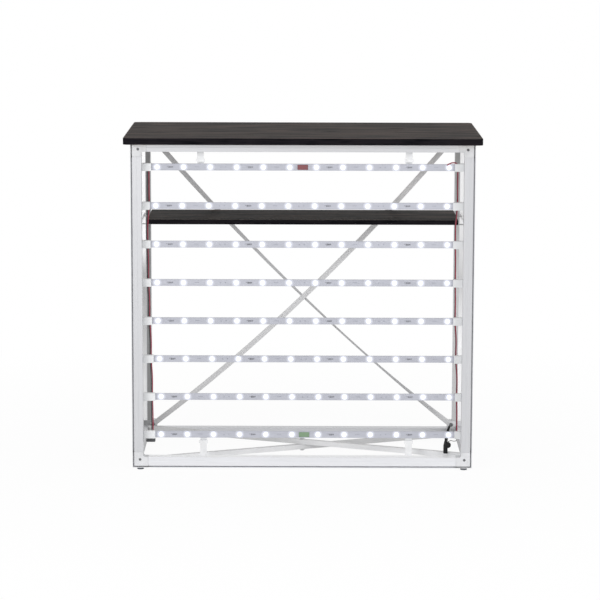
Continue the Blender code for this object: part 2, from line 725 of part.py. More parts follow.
def strap_screws():
    head_seat = -STRAP_THICKNESS / 2 - GAP
    tip = GAP + STRAP_THICKNESS / 2 + SCREW_LENGTH
    profile = [
        (0, -tip),
        (SCREW_DIAMETER / 2, -tip),
        (SCREW_DIAMETER / 2, -head_seat),
        (SCREW_HEAD_DIAMETER / 2, -head_seat),
        (SCREW_HEAD_DIAMETER / 2, -head_seat + SCREW_HEAD_HEIGHT),
        (0, -head_seat + SCREW_HEAD_HEIGHT),
    ]
    mesh = turned(profile, PIN_SIDES)
    mesh.transform(Matrix.Rotation(math.pi / 2, 4, "X"))
    for level, height in (("top", STRAP_HIGH), ("bottom", STRAP_LOW)):
        for side, x_side in SIDES_OF.items():
            place = (x_side * STRAP_X, STRAP_Y, height)
            add(f"{level}_{side}_strap_screw", mesh, STEEL, place, round_piece=True)


straps()
strap_screws()

# Crossed bars in the base, stacked and bolted through their middle
BASE_LOW = FRAME_BOTTOM + BASE_BAR_RISE
BASE_HIGH = BASE_LOW + BASE_BAR + GAP


def base_bars():
    end = Vector((RAIL_INSIDE, HALF_DEPTH - BASE_BAR_IN_Y, 0))
    half = BASE_BAR / 2
    reach = RAIL_INSIDE - GAP
    for name, slope, bottom in (("upper_base_bar", -1, BASE_HIGH), ("lower_base_bar", 1, BASE_LOW)):
        along = Vector((end.x, slope * end.y, 0))
        outline = rectangle(-half, 0, half, BASE_BAR)
        across = along.cross(Z_AXIS).normalized()
        bar = extruded(outline, None, 2 * along.length + 2 * BASE_BAR, across, Z_AXIS, along.normalized())
        room = box((-reach, -HALF_DEPTH, -OVERCUT), (reach, HALF_DEPTH, BASE_BAR + OVERCUT))
        hole = rod((0, 0, -OVERCUT), (0, 0, BASE_BAR + OVERCUT), BOLT_DIAMETER + 2 * FIT, SIDES)
        mesh = shaped(bar, ("INTERSECT", room), ("DIFFERENCE", hole))
        add(name, mesh, ALUMINIUM, (0, 0, bottom))


def base_bolt():
    low = BASE_LOW - GAP
    high = BASE_HIGH + BASE_BAR + GAP
    profile = [
        (0, low - BOLT_HEAD_HEIGHT),
        (BOLT_HEAD_DIAMETER / 2, low - BOLT_HEAD_HEIGHT),
        (BOLT_HEAD_DIAMETER / 2, low),
        (BOLT_DIAMETER / 2, low),
        (BOLT_DIAMETER / 2, high),
        (BOLT_HEAD_DIAMETER / 2, high),
        (BOLT_HEAD_DIAMETER / 2, high + BOLT_HEAD_HEIGHT),
        (0, high + BOLT_HEAD_HEIGHT),
    ]
    add("base_bolt", turned(profile, SIDES), STEEL, round_piece=True)


base_bars()
base_bolt()

# Black lead: out of the rear corner block, forward over the base bars, up behind the lowest bar to its connector
LEAD_OUTLET = Vector((HALF_WIDTH - LEAD_IN_X, BACK_INSIDE, FRAME_BOTTOM + LEAD_IN_Z))
BAR_END = Vector((BAR_HALF, BAR_BACK, BAR_HEIGHTS[0]))
LEAD_ROUTE = [
    LEAD_OUTLET + Vector((0, -GAP, 0)),
    LEAD_OUTLET + Vector((-0.0005, -0.016, -0.0005)),
    LEAD_OUTLET + Vector((-0.0025, -0.035, -0.0035)),
    LEAD_OUTLET + Vector((-0.0065, -0.073, -0.0085)),
    LEAD_OUTLET + Vector((-0.0115, -0.123, -0.0095)),
    LEAD_OUTLET + Vector((-0.016, -0.183, -0.004)),
    BAR_END + Vector((-0.004, 0.170, -0.056)),
    BAR_END + Vector((-0.0065, 0.120, -0.037)),
    BAR_END + Vector((-0.0085, 0.089, -0.0145)),
    BAR_END + Vector((-0.0080, 0.0615, -0.001)),
    BAR_END + Vector((-0.0055, 0.045, 0.0135)),
    BAR_END + Vector((-0.0045, 0.029, 0.0185)),
    BAR_END + Vector((-0.0075, 0.014, 0.0145)),
    BAR_END + Vector((-0.0130, 0.007, 0.0055)),
    BAR_END + Vector((-0.0163, 0.007, -0.0065)),
    BAR_END + Vector((-0.0169, 0.0087, -0.0167)),
    BAR_END + Vector((-0.017, 0.009, -0.021)),
]
CONNECTOR_TOP = LEAD_ROUTE[-1] - GAP * Z_AXIS


def lead():
    tube("power_lead", smooth_route(LEAD_ROUTE, LEAD_STEPS), LEAD_DIAMETER, BLACK_PVC)


def connector():
    """A round socket with a locking boss on its side, about the middle of its top."""
    body = rod((0, 0, 0), (0, 0, -CONNECTOR_LENGTH), CONNECTOR_DIAMETER, SIDES)
    half = CONNECTOR_BOSS_LENGTH / 2
    boss = rod(
        (CONNECTOR_BOSS_OUT, -half, -CONNECTOR_BOSS_DROP),
        (CONNECTOR_BOSS_OUT, half, -CONNECTOR_BOSS_DROP),
        CONNECTOR_BOSS_DIAMETER,
        SIDES,
    )
    mesh = shaped(body, ("UNION", boss))
    add("power_connector", mesh, BLACK_PVC, CONNECTOR_TOP, round_piece=True)


def connector_tail():
    """The thin wire from the clip's underside to the connector's side."""
    clip_end = BAR_END + Vector((BAR_SHIFTS[(BAR_COUNT - 1) % len(BAR_SHIFTS)], 0, 0))
    start = clip_end + Vector((TAIL_OUT, 0, -CLIP_HEIGHT / 2 - GAP))
    end = CONNECTOR_TOP + Vector((CONNECTOR_DIAMETER / 2 + GAP, 0, -TAIL_DROP))
    route = [
        start,
        start + Vector((-0.0008, 0.0006, -0.004)),
        start + Vector((-0.0045, 0.0022, -0.0078)),
        start + Vector((-0.0105, 0.0045, -0.0088)),
        end + Vector((0.0085, 0, 0.0028)),
        end + Vector((0.003, 0, 0.0004)),
        end,
    ]
    tube("connector_tail", smooth_route(route, TAIL_STEPS), TAIL_DIAMETER, RED_PVC)


lead()
connector()
connector_tail()
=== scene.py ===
"""Looks of a knock-down exhibition counter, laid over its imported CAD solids.

Metres, +Z up, the front faces -Y. The pieces follow in the order in which the counter is put together.
"""

import itertools
import json
import math

import bmesh
import bpy
import numpy as np
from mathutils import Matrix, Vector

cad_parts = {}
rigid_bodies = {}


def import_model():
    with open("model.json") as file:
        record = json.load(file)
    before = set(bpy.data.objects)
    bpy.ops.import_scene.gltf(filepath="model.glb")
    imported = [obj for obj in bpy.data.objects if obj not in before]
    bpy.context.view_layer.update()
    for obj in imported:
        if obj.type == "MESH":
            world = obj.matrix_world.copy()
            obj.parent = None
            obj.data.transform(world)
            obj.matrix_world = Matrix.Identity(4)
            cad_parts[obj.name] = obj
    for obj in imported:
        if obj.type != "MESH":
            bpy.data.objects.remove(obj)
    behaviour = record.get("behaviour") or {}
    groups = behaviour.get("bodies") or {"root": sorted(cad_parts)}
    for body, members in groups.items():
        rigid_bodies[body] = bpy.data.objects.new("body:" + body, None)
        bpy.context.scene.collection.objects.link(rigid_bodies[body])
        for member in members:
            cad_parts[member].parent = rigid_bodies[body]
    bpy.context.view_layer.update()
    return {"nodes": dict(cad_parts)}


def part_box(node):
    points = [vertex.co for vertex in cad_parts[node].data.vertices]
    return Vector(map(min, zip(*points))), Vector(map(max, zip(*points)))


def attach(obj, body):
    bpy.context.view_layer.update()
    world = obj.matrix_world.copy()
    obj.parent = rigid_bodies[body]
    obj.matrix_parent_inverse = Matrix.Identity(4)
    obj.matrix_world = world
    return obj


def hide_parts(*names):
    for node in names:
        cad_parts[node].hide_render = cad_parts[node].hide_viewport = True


for old in list(bpy.data.objects):
    bpy.data.objects.remove(old)
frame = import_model()
scene = bpy.context.scene

# Camera: a long lens 7.6 m in front of the counter and a little above its top, as in the photograph,
# so that the rear frame shows just inside the front one.
SENSOR_WIDTH = 36.0
FOCAL_LENGTH = 154.13


def in_scene(name, data):
    """A new object with this data, linked to the scene."""
    thing = bpy.data.objects.new(name, data)
    scene.collection.objects.link(thing)
    return thing


camera = in_scene("camera", bpy.data.cameras.new("camera"))
camera.location = (-0.00923, -7.64428, 1.68706)
camera.rotation_euler = (1.412832, -0.002588, 0.000177)
camera.data.sensor_width = SENSOR_WIDTH
camera.data.lens = FOCAL_LENGTH
scene.camera = camera

# Studio: a white sweep in soft light. The world lights the counter evenly, two large panels give it a front
# and a side, and the floor is white to the camera but still takes the counter's shadow.
WHITE = (1, 1, 1, 1)
WORLD_LIGHT = 0.62
PANELS = {"left panel": ((-2.6, -4.8, 2.1), 92.0), "right panel": ((3.4, -3.2, 1.9), 56.0)}  # place, watts
PANEL_SIDE = 2.4
FLOOR_HALF = 30.0
FLOOR_PAINT = (0.95, 0.95, 0.95, 1)
FLOOR_OWN = (0.94, 1.0)  # how much of the floor's white is its own, under the counter and away from it
FLOOR_FADE = (0.6, 2.0)  # where that share starts and stops to grow, from the counter's middle


def feed(tree, node, values):
    """Sets a node's inputs, each to a value or to a socket that is linked to it."""
    for name, value in values.items():
        if isinstance(value, bpy.types.NodeSocket):
            tree.links.new(value, node.inputs[name])
        else:
            node.inputs[name].default_value = value
    return node


def put(tree, kind, values=None, **settings):
    """A new node in the tree, with its inputs' values and its own settings."""
    node = tree.nodes.new("ShaderNode" + kind)
    for name, setting in settings.items():
        setattr(node, name, setting)
    return feed(tree, node, values or {})


def calc(tree, operation, *values):
    """The result of a Math node on these values."""
    return put(tree, "Math", dict(enumerate(values)), operation=operation).outputs[0]


def levels(tree, mask, low, high, from_low=0.0, from_high=1.0, **settings):
    """A mask spread from its own range to the range from low to high."""
    values = {"Value": mask, "From Min": from_low, "From Max": from_high, "To Min": low, "To Max": high}
    return put(tree, "MapRange", values, **settings).outputs["Result"]


def place_of(tree):
    """The place on the object, in metres."""
    return put(tree, "TexCoord").outputs["Object"]


def seen_directly(tree):
    """1 on rays from the camera or off a mirror or through glass, 0 on rays that light the counter."""
    path = put(tree, "LightPath").outputs
    mirror = calc(tree, "MAXIMUM", path["Is Camera Ray"], path["Is Glossy Ray"])
    return calc(tree, "MAXIMUM", mirror, path["Is Transmission Ray"])


scene.view_settings.view_transform = "Standard"
scene.world = bpy.data.worlds.new("studio")
scene.world.use_nodes = True
sky = scene.world.node_tree
sky.nodes.clear()
soft_light = put(sky, "Background", {"Color": WHITE, "Strength": WORLD_LIGHT}).outputs[0]
white_sky = put(sky, "Background", {"Color": WHITE, "Strength": 1.0}).outputs[0]
sky_mix = put(sky, "MixShader", {0: seen_directly(sky), 1: soft_light, 2: white_sky})
put(sky, "OutputWorld", {"Surface": sky_mix.outputs[0]})

for panel_name, (panel_place, panel_power) in PANELS.items():
    panel = in_scene(panel_name, bpy.data.lights.new(panel_name, "AREA"))
    panel.data.size = PANEL_SIDE
    panel.data.energy = panel_power
    panel.location = panel_place
    panel.rotation_euler = (-panel.location).to_track_quat("-Z", "Y").to_euler()

floor_finish = bpy.data.materials.new("white sweep")
floor_finish.use_nodes = True
sweep = floor_finish.node_tree
sweep.nodes.clear()
lit_white = put(sweep, "BsdfDiffuse", {"Color": FLOOR_PAINT}).outputs[0]
own_white = put(sweep, "Emission", {"Color": WHITE, "Strength": 1.0}).outputs[0]
from_middle = put(sweep, "VectorMath", {0: place_of(sweep)}, operation="LENGTH").outputs["Value"]
own_share = levels(sweep, from_middle, *FLOOR_OWN, *FLOOR_FADE)
shown = put(sweep, "MixShader", {0: own_share, 1: lit_white, 2: own_white}).outputs[0]
either = put(sweep, "MixShader", {0: seen_directly(sweep), 1: lit_white, 2: shown}).outputs[0]
put(sweep, "OutputMaterial", {"Surface": either})
floor_mesh = bpy.data.meshes.new("floor")
floor_corners = np.array([[-1, -1, 0], [1, -1, 0], [1, 1, 0], [-1, 1, 0]]) * FLOOR_HALF
floor_mesh.from_pydata(floor_corners.tolist(), [], [[0, 1, 2, 3]])
floor_mesh.materials.append(floor_finish)
floor = in_scene("floor", floor_mesh)

# Posts and rails: hollow aluminium profiles with a graphic groove beside the outer edge, drawn through a
# die and satin anodised. Two square frames of them, front and rear, are joined by plainer rails through the
# depth.
GROOVE_LIP = 0.002
GROOVE_WIDTH = 0.0035
GROOVE_DEPTH = 0.012
FACE_LINE = 0.0195  # fine line on the face, from the outer edge
LINE_WIDTH = 0.0008
LINE_DEPTH = 0.0006
BAND_WIDTH = 0.0150  # sunk band on a post's back, from the inner edge
BAND_DEPTH = 0.0010
PROFILE_WALL = 0.002
PROFILE_EASE = 0.0007
ALUMINIUM = (0.60, 0.605, 0.625)
METAL_ROUGH = 0.42
HAIR_LINES = 700.0
SOFT_CLOUDS = 22.0
DRAWN_OUT = 0.02  # scale of the hair lines along the bar
# Painted light: near-white for aluminium lit to white, on the posts' backs, a rail's top and the shelf rails.
PAINTED_LIGHT_WHITE = (0.96, 0.963, 0.97)
BAND_PAINTED_SHADE = {  # painted shade: share of that white in the band, by height
    "left": ((0.0, 0.22), (0.45, 0.24), (0.75, 0.19), (1.0, 0.19)),
    "right": ((0.0, 0.60), (0.55, 0.62), (0.75, 0.50), (0.88, 0.36), (1.0, 0.32)),
}
BACK_PAINTED_LIGHT_AND_SHADE = {  # and beside it, painted light and shade
    "left": ((0.0, 0.80), (0.18, 0.74), (0.30, 0.58), (0.45, 0.44), (0.52, 0.45), (0.60, 0.95), (1.0, 1.0)),
    "right": ((0.0, 1.0), (0.30, 1.0), (0.40, 0.84), (0.50, 0.62), (0.60, 0.78), (0.70, 0.98), (1.0, 1.0)),
}
LOW_RAIL_PAINTED_LIGHT = 1.29  # painted light: share of the aluminium's tone in the front bottom rail, which the floor lights from below
DEPTH_RAIL_PAINTED_SHADE = 0.55  # painted shade: share of the aluminium's tone on the inner sides of the depth rails
WELD = 1e-6
SIDES = {"left": -1, "right": 1}
FACES = {"front": -1, "rear": 1}
LEVELS = {"bottom": 1, "top": -1}
AXES = np.eye(3)


def node_box(node):
    """The low and the high corner of a node's box, as arrays."""
    return tuple(np.array(corner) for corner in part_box(node))


def each_node(ending, *groups):
    """Each node named by one choice from every group, with the choices' names and signs and its box."""
    for choices in itertools.product(*[group.items() for group in groups]):
        names, signs = zip(*choices)
        node = "_".join([*names, ending])
        yield node, names, signs, *node_box(node)


def outer(node, *sides):
    """The corner of a node's box: its high side along an axis with a positive sign, else its low side."""
    low, high = node_box(node)
    return np.where(np.array(sides) > 0, high, low)


def grid_faces(rows, columns, ring_rows=False, ring_columns=True):
    """The cells of a grid of points, each as its four points' numbers.

    A ring joins its last line to its first.
    """
    i = np.arange(rows if ring_rows else rows - 1)[:, None]
    j = np.arange(columns if ring_columns else columns - 1)[None, :]
    k = (i + 1) % rows
    m = (j + 1) % columns
    return np.stack([i * columns + j, i * columns + m, k * columns + m, k * columns + j], -1).reshape(-1, 4)


def make_piece(name, points, faces, finishes, parts=None, uv=None, rub=None, smooth=None):
    """A piece from arrays of points and of faces as point numbers, its doubled points joined.

    Parts are the faces' finishes, uv and rub the points' places on the surface and wear, and smooth is the
    angle above which an edge stays sharp.
    """
    mesh = bpy.data.meshes.new(name)
    mesh.from_pydata(np.reshape(points, (-1, 3)).tolist(), [], [list(face) for face in faces])
    for finish in finishes:
        mesh.materials.append(finish)
    if parts is not None:
        mesh.polygons.foreach_set("material_index", np.asarray(parts, np.int32))
    if uv is not None:
        corner = np.empty(len(mesh.loops), np.int32)
        mesh.loops.foreach_get("vertex_index", corner)
        layer = mesh.uv_layers.new(name="surface")
        layer.data.foreach_set("uv", np.reshape(uv, (-1, 2))[corner].astype(np.float32).ravel())
    if rub is not None:
        worn = mesh.attributes.new("rub", "FLOAT", "POINT")
        worn.data.foreach_set("value", np.ravel(rub).astype(np.float32))
    bm = bmesh.new()
    bm.from_mesh(mesh)
    bmesh.ops.remove_doubles(bm, verts=bm.verts, dist=WELD)
    bmesh.ops.recalc_face_normals(bm, faces=bm.faces)
    bm.to_mesh(mesh)
    bm.free()
    if smooth:
        mesh.shade_smooth()
        mesh.set_sharp_from_angle(angle=math.radians(smooth))
    return in_scene(name, mesh)


def fit(piece, body, slot, *nodes):
    """Puts a piece on its body and in place of the nodes that it stands for; its material slot is not used.
    """
    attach(piece, body)
    if nodes:
        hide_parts(*nodes)
    return piece


def rectangle(left, low, right, high):
    """The four corners of a rectangle, in order."""
    return [(left, low), (right, low), (right, high), (left, high)]


def eased(corners, radius, steps=4):
    """A closed outline with soft corners.

    A corner C becomes the curve (1-t)^2 A + 2t(1-t) C + t^2 B, where A and B lie a radius away along its
    sides, or 0.45 of a side if that is less.
    """
    corner = np.asarray(corners, float)
    ends = []
    for step in (1, -1):
        side = np.roll(corner, step, 0) - corner
        length = np.linalg.norm(side, axis=1, keepdims=True)
        ends.append((corner + side / length * np.minimum(radius, 0.45 * length))[:, None])
    t = np.linspace(0, 1, steps)[None, :, None]
    curve = (1 - t) ** 2 * ends[0] + 2 * t * (1 - t) * corner[:, None] + t**2 * ends[1]
    return curve.reshape(-1, 2)


def on_line(outline, axis, value):
    """The cells of an outline that lie on the line where a coordinate has this value."""
    near = np.isclose(outline[:, axis], value)
    return near & np.roll(near, -1)


def tube(name, outline, wall, start, end, across, inward, finishes, marked):
    """A hollow bar: the outline carried from start to end, and its core, clipped to the wall's box, back.

    Marked gives, by the number of a finish, the cells of the outside that have it.
    """
    core = np.clip(outline, *wall)
    sections = ((outline, start), (outline, end), (core, end), (core, start))
    rows = np.stack([np.asarray(at) + s[:, :1] * across + s[:, 1:] * inward for s, at in sections])
    parts = np.zeros((4, len(outline)), int)
    for part, cells in marked.items():
        parts[0, cells] = part
    return make_piece(name, rows, grid_faces(4, len(outline), ring_rows=True), finishes, parts.ravel())


def new_group(name, inputs, make):
    """A shader node group whose outputs are the numbers that make gives for its inputs.

    An input is a vector where its value has three numbers.
    """
    group = bpy.data.node_groups.new(name, "ShaderNodeTree")
    for label, value in inputs.items():
        kind = "NodeSocketVector" if np.ndim(value) else "NodeSocketFloat"
        group.interface.new_socket(label, in_out="INPUT", socket_type=kind).default_value = value
    made = make(group, group.nodes.new("NodeGroupInput").outputs)
    for label in made:
        group.interface.new_socket(label, in_out="OUTPUT", socket_type="NodeSocketFloat")
    feed(group, group.nodes.new("NodeGroupOutput"), made)
    return group


def new_finish(name):
    """A new material and its node tree."""
    material = bpy.data.materials.new(name)
    material.use_nodes = True
    return material, material.node_tree


def coated(material, look):
    """The material with its shader's inputs set to this look."""
    feed(material.node_tree, material.node_tree.nodes["Principled BSDF"], look)
    return material


def toned(colour, factor):
    """A colour made lighter or darker by a factor, up to white."""
    return tuple(min(part * factor, 1.0) for part in colour)


def shades(tree, mask, *stops):
    """A colour for each value of a mask, from (value, colour) stops."""
    ramp = put(tree, "ValToRGB", {"Fac": mask})
    elements = ramp.color_ramp.elements
    while len(elements) < len(stops):
        elements.new(1.0)
    for element, (value, colour) in zip(elements, stops):
        element.position = value
        element.color = (*colour, 1.0)
    return ramp.outputs["Color"]


def shared(tree, colour, axis, stops):
    """A colour times a share that follows (place, share) stops along an axis of the object."""
    place = put(tree, "SeparateXYZ", {0: place_of(tree)}).outputs[axis]
    low, high = stops[0][0], stops[-1][0]
    way = levels(tree, place, 0.0, 1.0, low, high)
    share = shades(tree, way, *[((at - low) / (high - low), (part, part, part)) for at, part in stops])
    return put(tree, "VectorMath", {0: colour, 1: share}, operation="MULTIPLY").outputs[0]


def noise(tree, place, scale, detail, **more):
    """The value of a noise texture at a place."""
    return put(tree, "TexNoise", {"Vector": place, "Scale": scale, "Detail": detail, **more}).outputs[0]


def relief(tree, height, strength, distance):
    """The normal of a surface with this height."""
    return put(tree, "Bump", {"Strength": strength, "Distance": distance, "Height": height}).outputs[0]


def make_streaks(tree, given):
    """Fine hair lines and soft clouds."""
    place = given["Place"]
    return {"Streak": noise(tree, place, HAIR_LINES, 5.0), "Cloud": noise(tree, place, SOFT_CLOUDS, 3.0)}


def make_scuffs(tree, given):
    """Worn places, where the mean of broad patches and fine scratches passes the spread."""
    patches = noise(tree, given["Place"], 9.0, 4.0, Roughness=0.65)
    scratches = noise(tree, given["Place"], given["Size"], 6.0, Roughness=0.7)
    mean = calc(tree, "MULTIPLY", calc(tree, "ADD", patches, scratches), 0.5)
    return {"Mask": levels(tree, mean, 0.0, 1.0, given["Spread"], calc(tree, "ADD", given["Spread"], 0.12))}


drawn_streaks = new_group("drawn streaks", {"Place": (0, 0, 0)}, make_streaks)
scuffs = new_group("scuffs", {"Place": (0, 0, 0), "Spread": 0.62, "Size": 90.0}, make_scuffs)


def scuffed(tree, place, **settings):
    """How worn a place is, from 0 to 1."""
    return put(tree, "Group", {"Place": place, **settings}, node_tree=scuffs).outputs["Mask"]


def drawn_lines(tree, place, stretch):
    """The hair lines and clouds at a place, drawn out by the stretch."""
    along = put(tree, "Mapping", {"Vector": place, "Scale": stretch}).outputs[0]
    return put(tree, "Group", {"Place": along}, node_tree=drawn_streaks).outputs


def drawn_metal(name, colour, axis, metallic=0.55, painted_light_and_shade=None):
    """Satin metal: hair lines drawn out along the axis, soft clouds of tone, and a few duller scuffs.

    The painted light and shade is an axis and the (place, share) stops by which the colour changes along it.
    """
    material, tree = new_finish(name)
    place = place_of(tree)
    lines = drawn_lines(tree, place, np.where(np.arange(3) == axis, DRAWN_OUT, 1.0).tolist())
    worn = scuffed(tree, place)
    tone = calc(tree, "MULTIPLY", calc(tree, "ADD", lines["Streak"], lines["Cloud"]), 0.5)
    tone = calc(tree, "SUBTRACT", tone, levels(tree, worn, 0.0, 0.14))
    drawn = shades(tree, tone, (0.25, toned(colour, 0.92)), (0.5, colour), (0.75, toned(colour, 1.05)))
    dull = calc(tree, "ADD", lines["Streak"], worn)
    look = {
        "Base Color": shared(tree, drawn, *painted_light_and_shade) if painted_light_and_shade else drawn,
        "Roughness": levels(tree, dull, METAL_ROUGH - 0.06, METAL_ROUGH + 0.14, 0.3, 1.4),
        "Normal": relief(tree, lines["Streak"], 0.08, 0.0004),
        "Metallic": metallic,
    }
    return coated(material, look)


profile_finish = [drawn_metal(f"satin aluminium along {'xyz'[i]}", ALUMINIUM, i) for i in range(3)]
# The posts' backs: painted shade in the band and painted light and shade beside it, darker on the left.
back_painted_finishes = {
    side: (
        drawn_metal(f"{side} band on the back with painted shade", PAINTED_LIGHT_WHITE, 2, 0.1, (2, BAND_PAINTED_SHADE[side])),
        drawn_metal(f"{side} bright back", PAINTED_LIGHT_WHITE, 2, 0.85, (2, BACK_PAINTED_LIGHT_AND_SHADE[side])),
    )
    for side in SIDES
}
depth_rail_painted_shade_finish = drawn_metal("painted shade on a depth rail's inner side", toned(ALUMINIUM, DEPTH_RAIL_PAINTED_SHADE), 1)
low_rail_painted_light_finish = drawn_metal("satin aluminium with painted light from the floor", toned(ALUMINIUM, LOW_RAIL_PAINTED_LIGHT), 0)
# Painted light: the front bottom rail's upper side, near-white where the light falls on it.
upper_side_painted_light_finish = drawn_metal("upper side with painted light", PAINTED_LIGHT_WHITE, 0, metallic=0.0)


def grooved_profile(width, depth, band):
    """The section, inwards from the outer edge and the face: lip, groove, face line and the back's band."""
    groove_in = GROOVE_LIP + GROOVE_WIDTH
    corners = [(0, 0), (GROOVE_LIP, 0), (GROOVE_LIP, GROOVE_DEPTH), (groove_in, GROOVE_DEPTH), (groove_in, 0)]
    corners += [(FACE_LINE - LINE_WIDTH / 2, 0), (FACE_LINE, LINE_DEPTH), (FACE_LINE + LINE_WIDTH / 2, 0)]
    corners += [(width, 0)]
    if band:
        sunk = depth - BAND_DEPTH
        corners += [(width, sunk), (width - band, sunk), (width - band, depth), (0, depth)]
    else:
        corners += [(width, depth), (0, depth)]
    return eased(corners, PROFILE_EASE)


def profile_piece(node, start, along, across, inward, width, depth, finishes, band=0.0):
    """One post or rail of the grooved profile, from its outer edge's start.

    Its second finish is for the inner side. With a band, the second and third are for the band and the back
    beside it.
    """
    outline = grooved_profile(width, depth, band)
    groove_wall = GROOVE_LIP + GROOVE_WIDTH + PROFILE_WALL
    wall = (groove_wall, PROFILE_WALL), (width - PROFILE_WALL, depth - PROFILE_WALL)
    if band:
        marked = {1: on_line(outline, 1, depth - BAND_DEPTH), 2: on_line(outline, 1, depth)}
    else:
        marked = {1: on_line(outline, 0, width)} if len(finishes) > 1 else {}
    piece = tube(f"{node}_profile", outline, wall, start, start + along, across, inward, finishes, marked)
    fit(piece, "frame", "aluminium", node)


def posts():
    """The four posts, upright at the frame's outer corners."""
    for node, (_, side), (y_side, x_side), low, high in each_node("post", FACES, SIDES):
        width, depth, height = high - low
        inwards = -x_side * AXES[0], -y_side * AXES[1]
        finishes = (profile_finish[2], *back_painted_finishes[side])
        start = outer(node, x_side, y_side, -1)
        profile_piece(node, start, height * AXES[2], *inwards, width, depth, finishes, BAND_WIDTH)


def rails():
    """The four rails across the front and the rear frame."""
    for node, place, (y_side, up), low, high in each_node("rail", FACES, LEVELS):
        length, depth, width = high - low
        inwards = up * AXES[2], -y_side * AXES[1]
        front_low = place == ("front", "bottom")
        finishes = (low_rail_painted_light_finish, upper_side_painted_light_finish) if front_low else (profile_finish[0],)
        start = outer(node, -1, y_side, -up)
        profile_piece(node, start, length * AXES[0], *inwards, width, depth, finishes)


def depth_rails():
    """The tubes through the depth, with painted shade on their inner sides."""
    for node, _, (x_side, _), low, high in each_node("depth_rail", SIDES, LEVELS):
        width, length, height = high - low
        outline = eased(rectangle(0, 0, width, height), PROFILE_EASE)
        wall = (PROFILE_WALL, PROFILE_WALL), (width - PROFILE_WALL, height - PROFILE_WALL)
        marked = {1: on_line(outline, 0, width if x_side < 0 else 0)}
        ends = low, low + length * AXES[1]
        finishes = (profile_finish[1], depth_rail_painted_shade_finish)
        piece = tube(f"{node}_tube", outline, wall, *ends, AXES[0], AXES[2], finishes, marked)
        fit(piece, "frame", "aluminium", node)


posts()
rails()
depth_rails()

# Corner blocks: elbows cast in aluminium and tumbled smooth, plugged into three profiles by spigots and
# locked by a socket screw that is sunk in the face. The rear lower ones have a lug for the strap.
CORNER_EASE = 0.0004
CORNER_CAST = (0.61, 0.615, 0.63)
LOWER_PAINTED_LIGHT_AND_SHADE = {  # painted light and shade: share of that tone on the front of the lower blocks
    ("front", "left"): 1.16,
    ("front", "right"): 1.16,
    ("rear", "left"): 0.40,
    ("rear", "right"): 1.25,
}
SCREW_GREY = (0.17, 0.172, 0.18)
SOCKET_IN_X = 0.0225
SOCKET_IN_Z = 0.0245
SOCKET_SCREW_RADIUS = 0.0039
SOCKET_SCREW_LENGTH = 0.0028
SOCKET_SCREW_EDGE = 0.0006  # depth at which the rim starts to roll over
SOCKET_RADIUS = 0.0018
SOCKET_DEPTH = 0.0012
SOCKET_ROLL = 0.0002


def bevelled(piece, width, segments):
    """Rounds the edges of a piece that turn by more than 30 degrees."""
    bevel = piece.modifiers.new("eased edges", "BEVEL")
    bevel.width = width
    bevel.segments = segments
    bevel.limit_method = "ANGLE"
    bevel.angle_limit = math.radians(30)
    return piece


def eased_copy(node, width, finishes):
    """A copy of a node's solid, its triangles joined into flat faces, with a bevel on each sharp edge.

    A second finish is for the faces that look to the front.
    """
    bm = bmesh.new()
    bm.from_mesh(frame["nodes"][node].data)
    bmesh.ops.remove_doubles(bm, verts=bm.verts, dist=WELD)
    bmesh.ops.dissolve_limit(bm, angle_limit=math.radians(1.0), verts=bm.verts, edges=bm.edges)
    mesh = bpy.data.meshes.new(f"{node}_eased")
    bm.to_mesh(mesh)
    bm.free()
    mesh.materials.clear()
    for finish in finishes:
        mesh.materials.append(finish)
    outward = np.empty((len(mesh.polygons), 3), np.float32)
    mesh.polygons.foreach_get("normal", outward.ravel())
    to_front = (outward[:, 1] < -0.5) & (len(finishes) > 1)
    mesh.polygons.foreach_set("material_index", to_front.astype(np.int32))
    return bevelled(in_scene(f"{node}_eased", mesh), width, 2)


def turned(profile, middle, axis, sides, hexagon=None):
    """Rings about an axis from (radius, height) rows; hexagon is how far each row is six-sided, 0 to 1.

    A six-sided row has its radius times the cosine of 30 degrees, over the cosine of the angle to the middle
    of the nearest flat.
    """
    radius, height = np.asarray(profile, float).T
    turn = np.arange(sides) / sides * math.tau
    flat = np.cos((turn + math.pi / 6) % (math.pi / 3) - math.pi / 6)
    share = np.zeros(len(radius)) if hexagon is None else np.asarray(hexagon, float)
    shape = 1 + share[:, None] * (math.cos(math.pi / 6) / flat[None, :] - 1)
    ring = radius[:, None] * shape
    side_1 = AXES[(axis + 1) % 3]
    side_2 = AXES[(axis + 2) % 3]
    points = ring[..., None] * (np.cos(turn)[:, None] * side_1 + np.sin(turn)[:, None] * side_2)
    return np.asarray(middle) + points + height[:, None, None] * AXES[axis]


def turned_piece(name, rows, middle, axis, sides, finish, smooth, hexagon=None):
    """A piece turned from its (radius, height) rows."""
    points = turned(rows, middle, axis, sides, hexagon)
    return make_piece(name, points, grid_faces(len(rows), sides), (finish,), smooth=smooth)


def make_skin(tree, given):
    """Fine speckle and soft clouds."""
    place = given["Place"]
    return {"Speckle": noise(tree, place, given["Size"], 3.0), "Cloud": noise(tree, place, 28.0, 3.0)}


speckled_skin = new_group("speckled skin", {"Place": (0, 0, 0), "Size": 900.0}, make_skin)


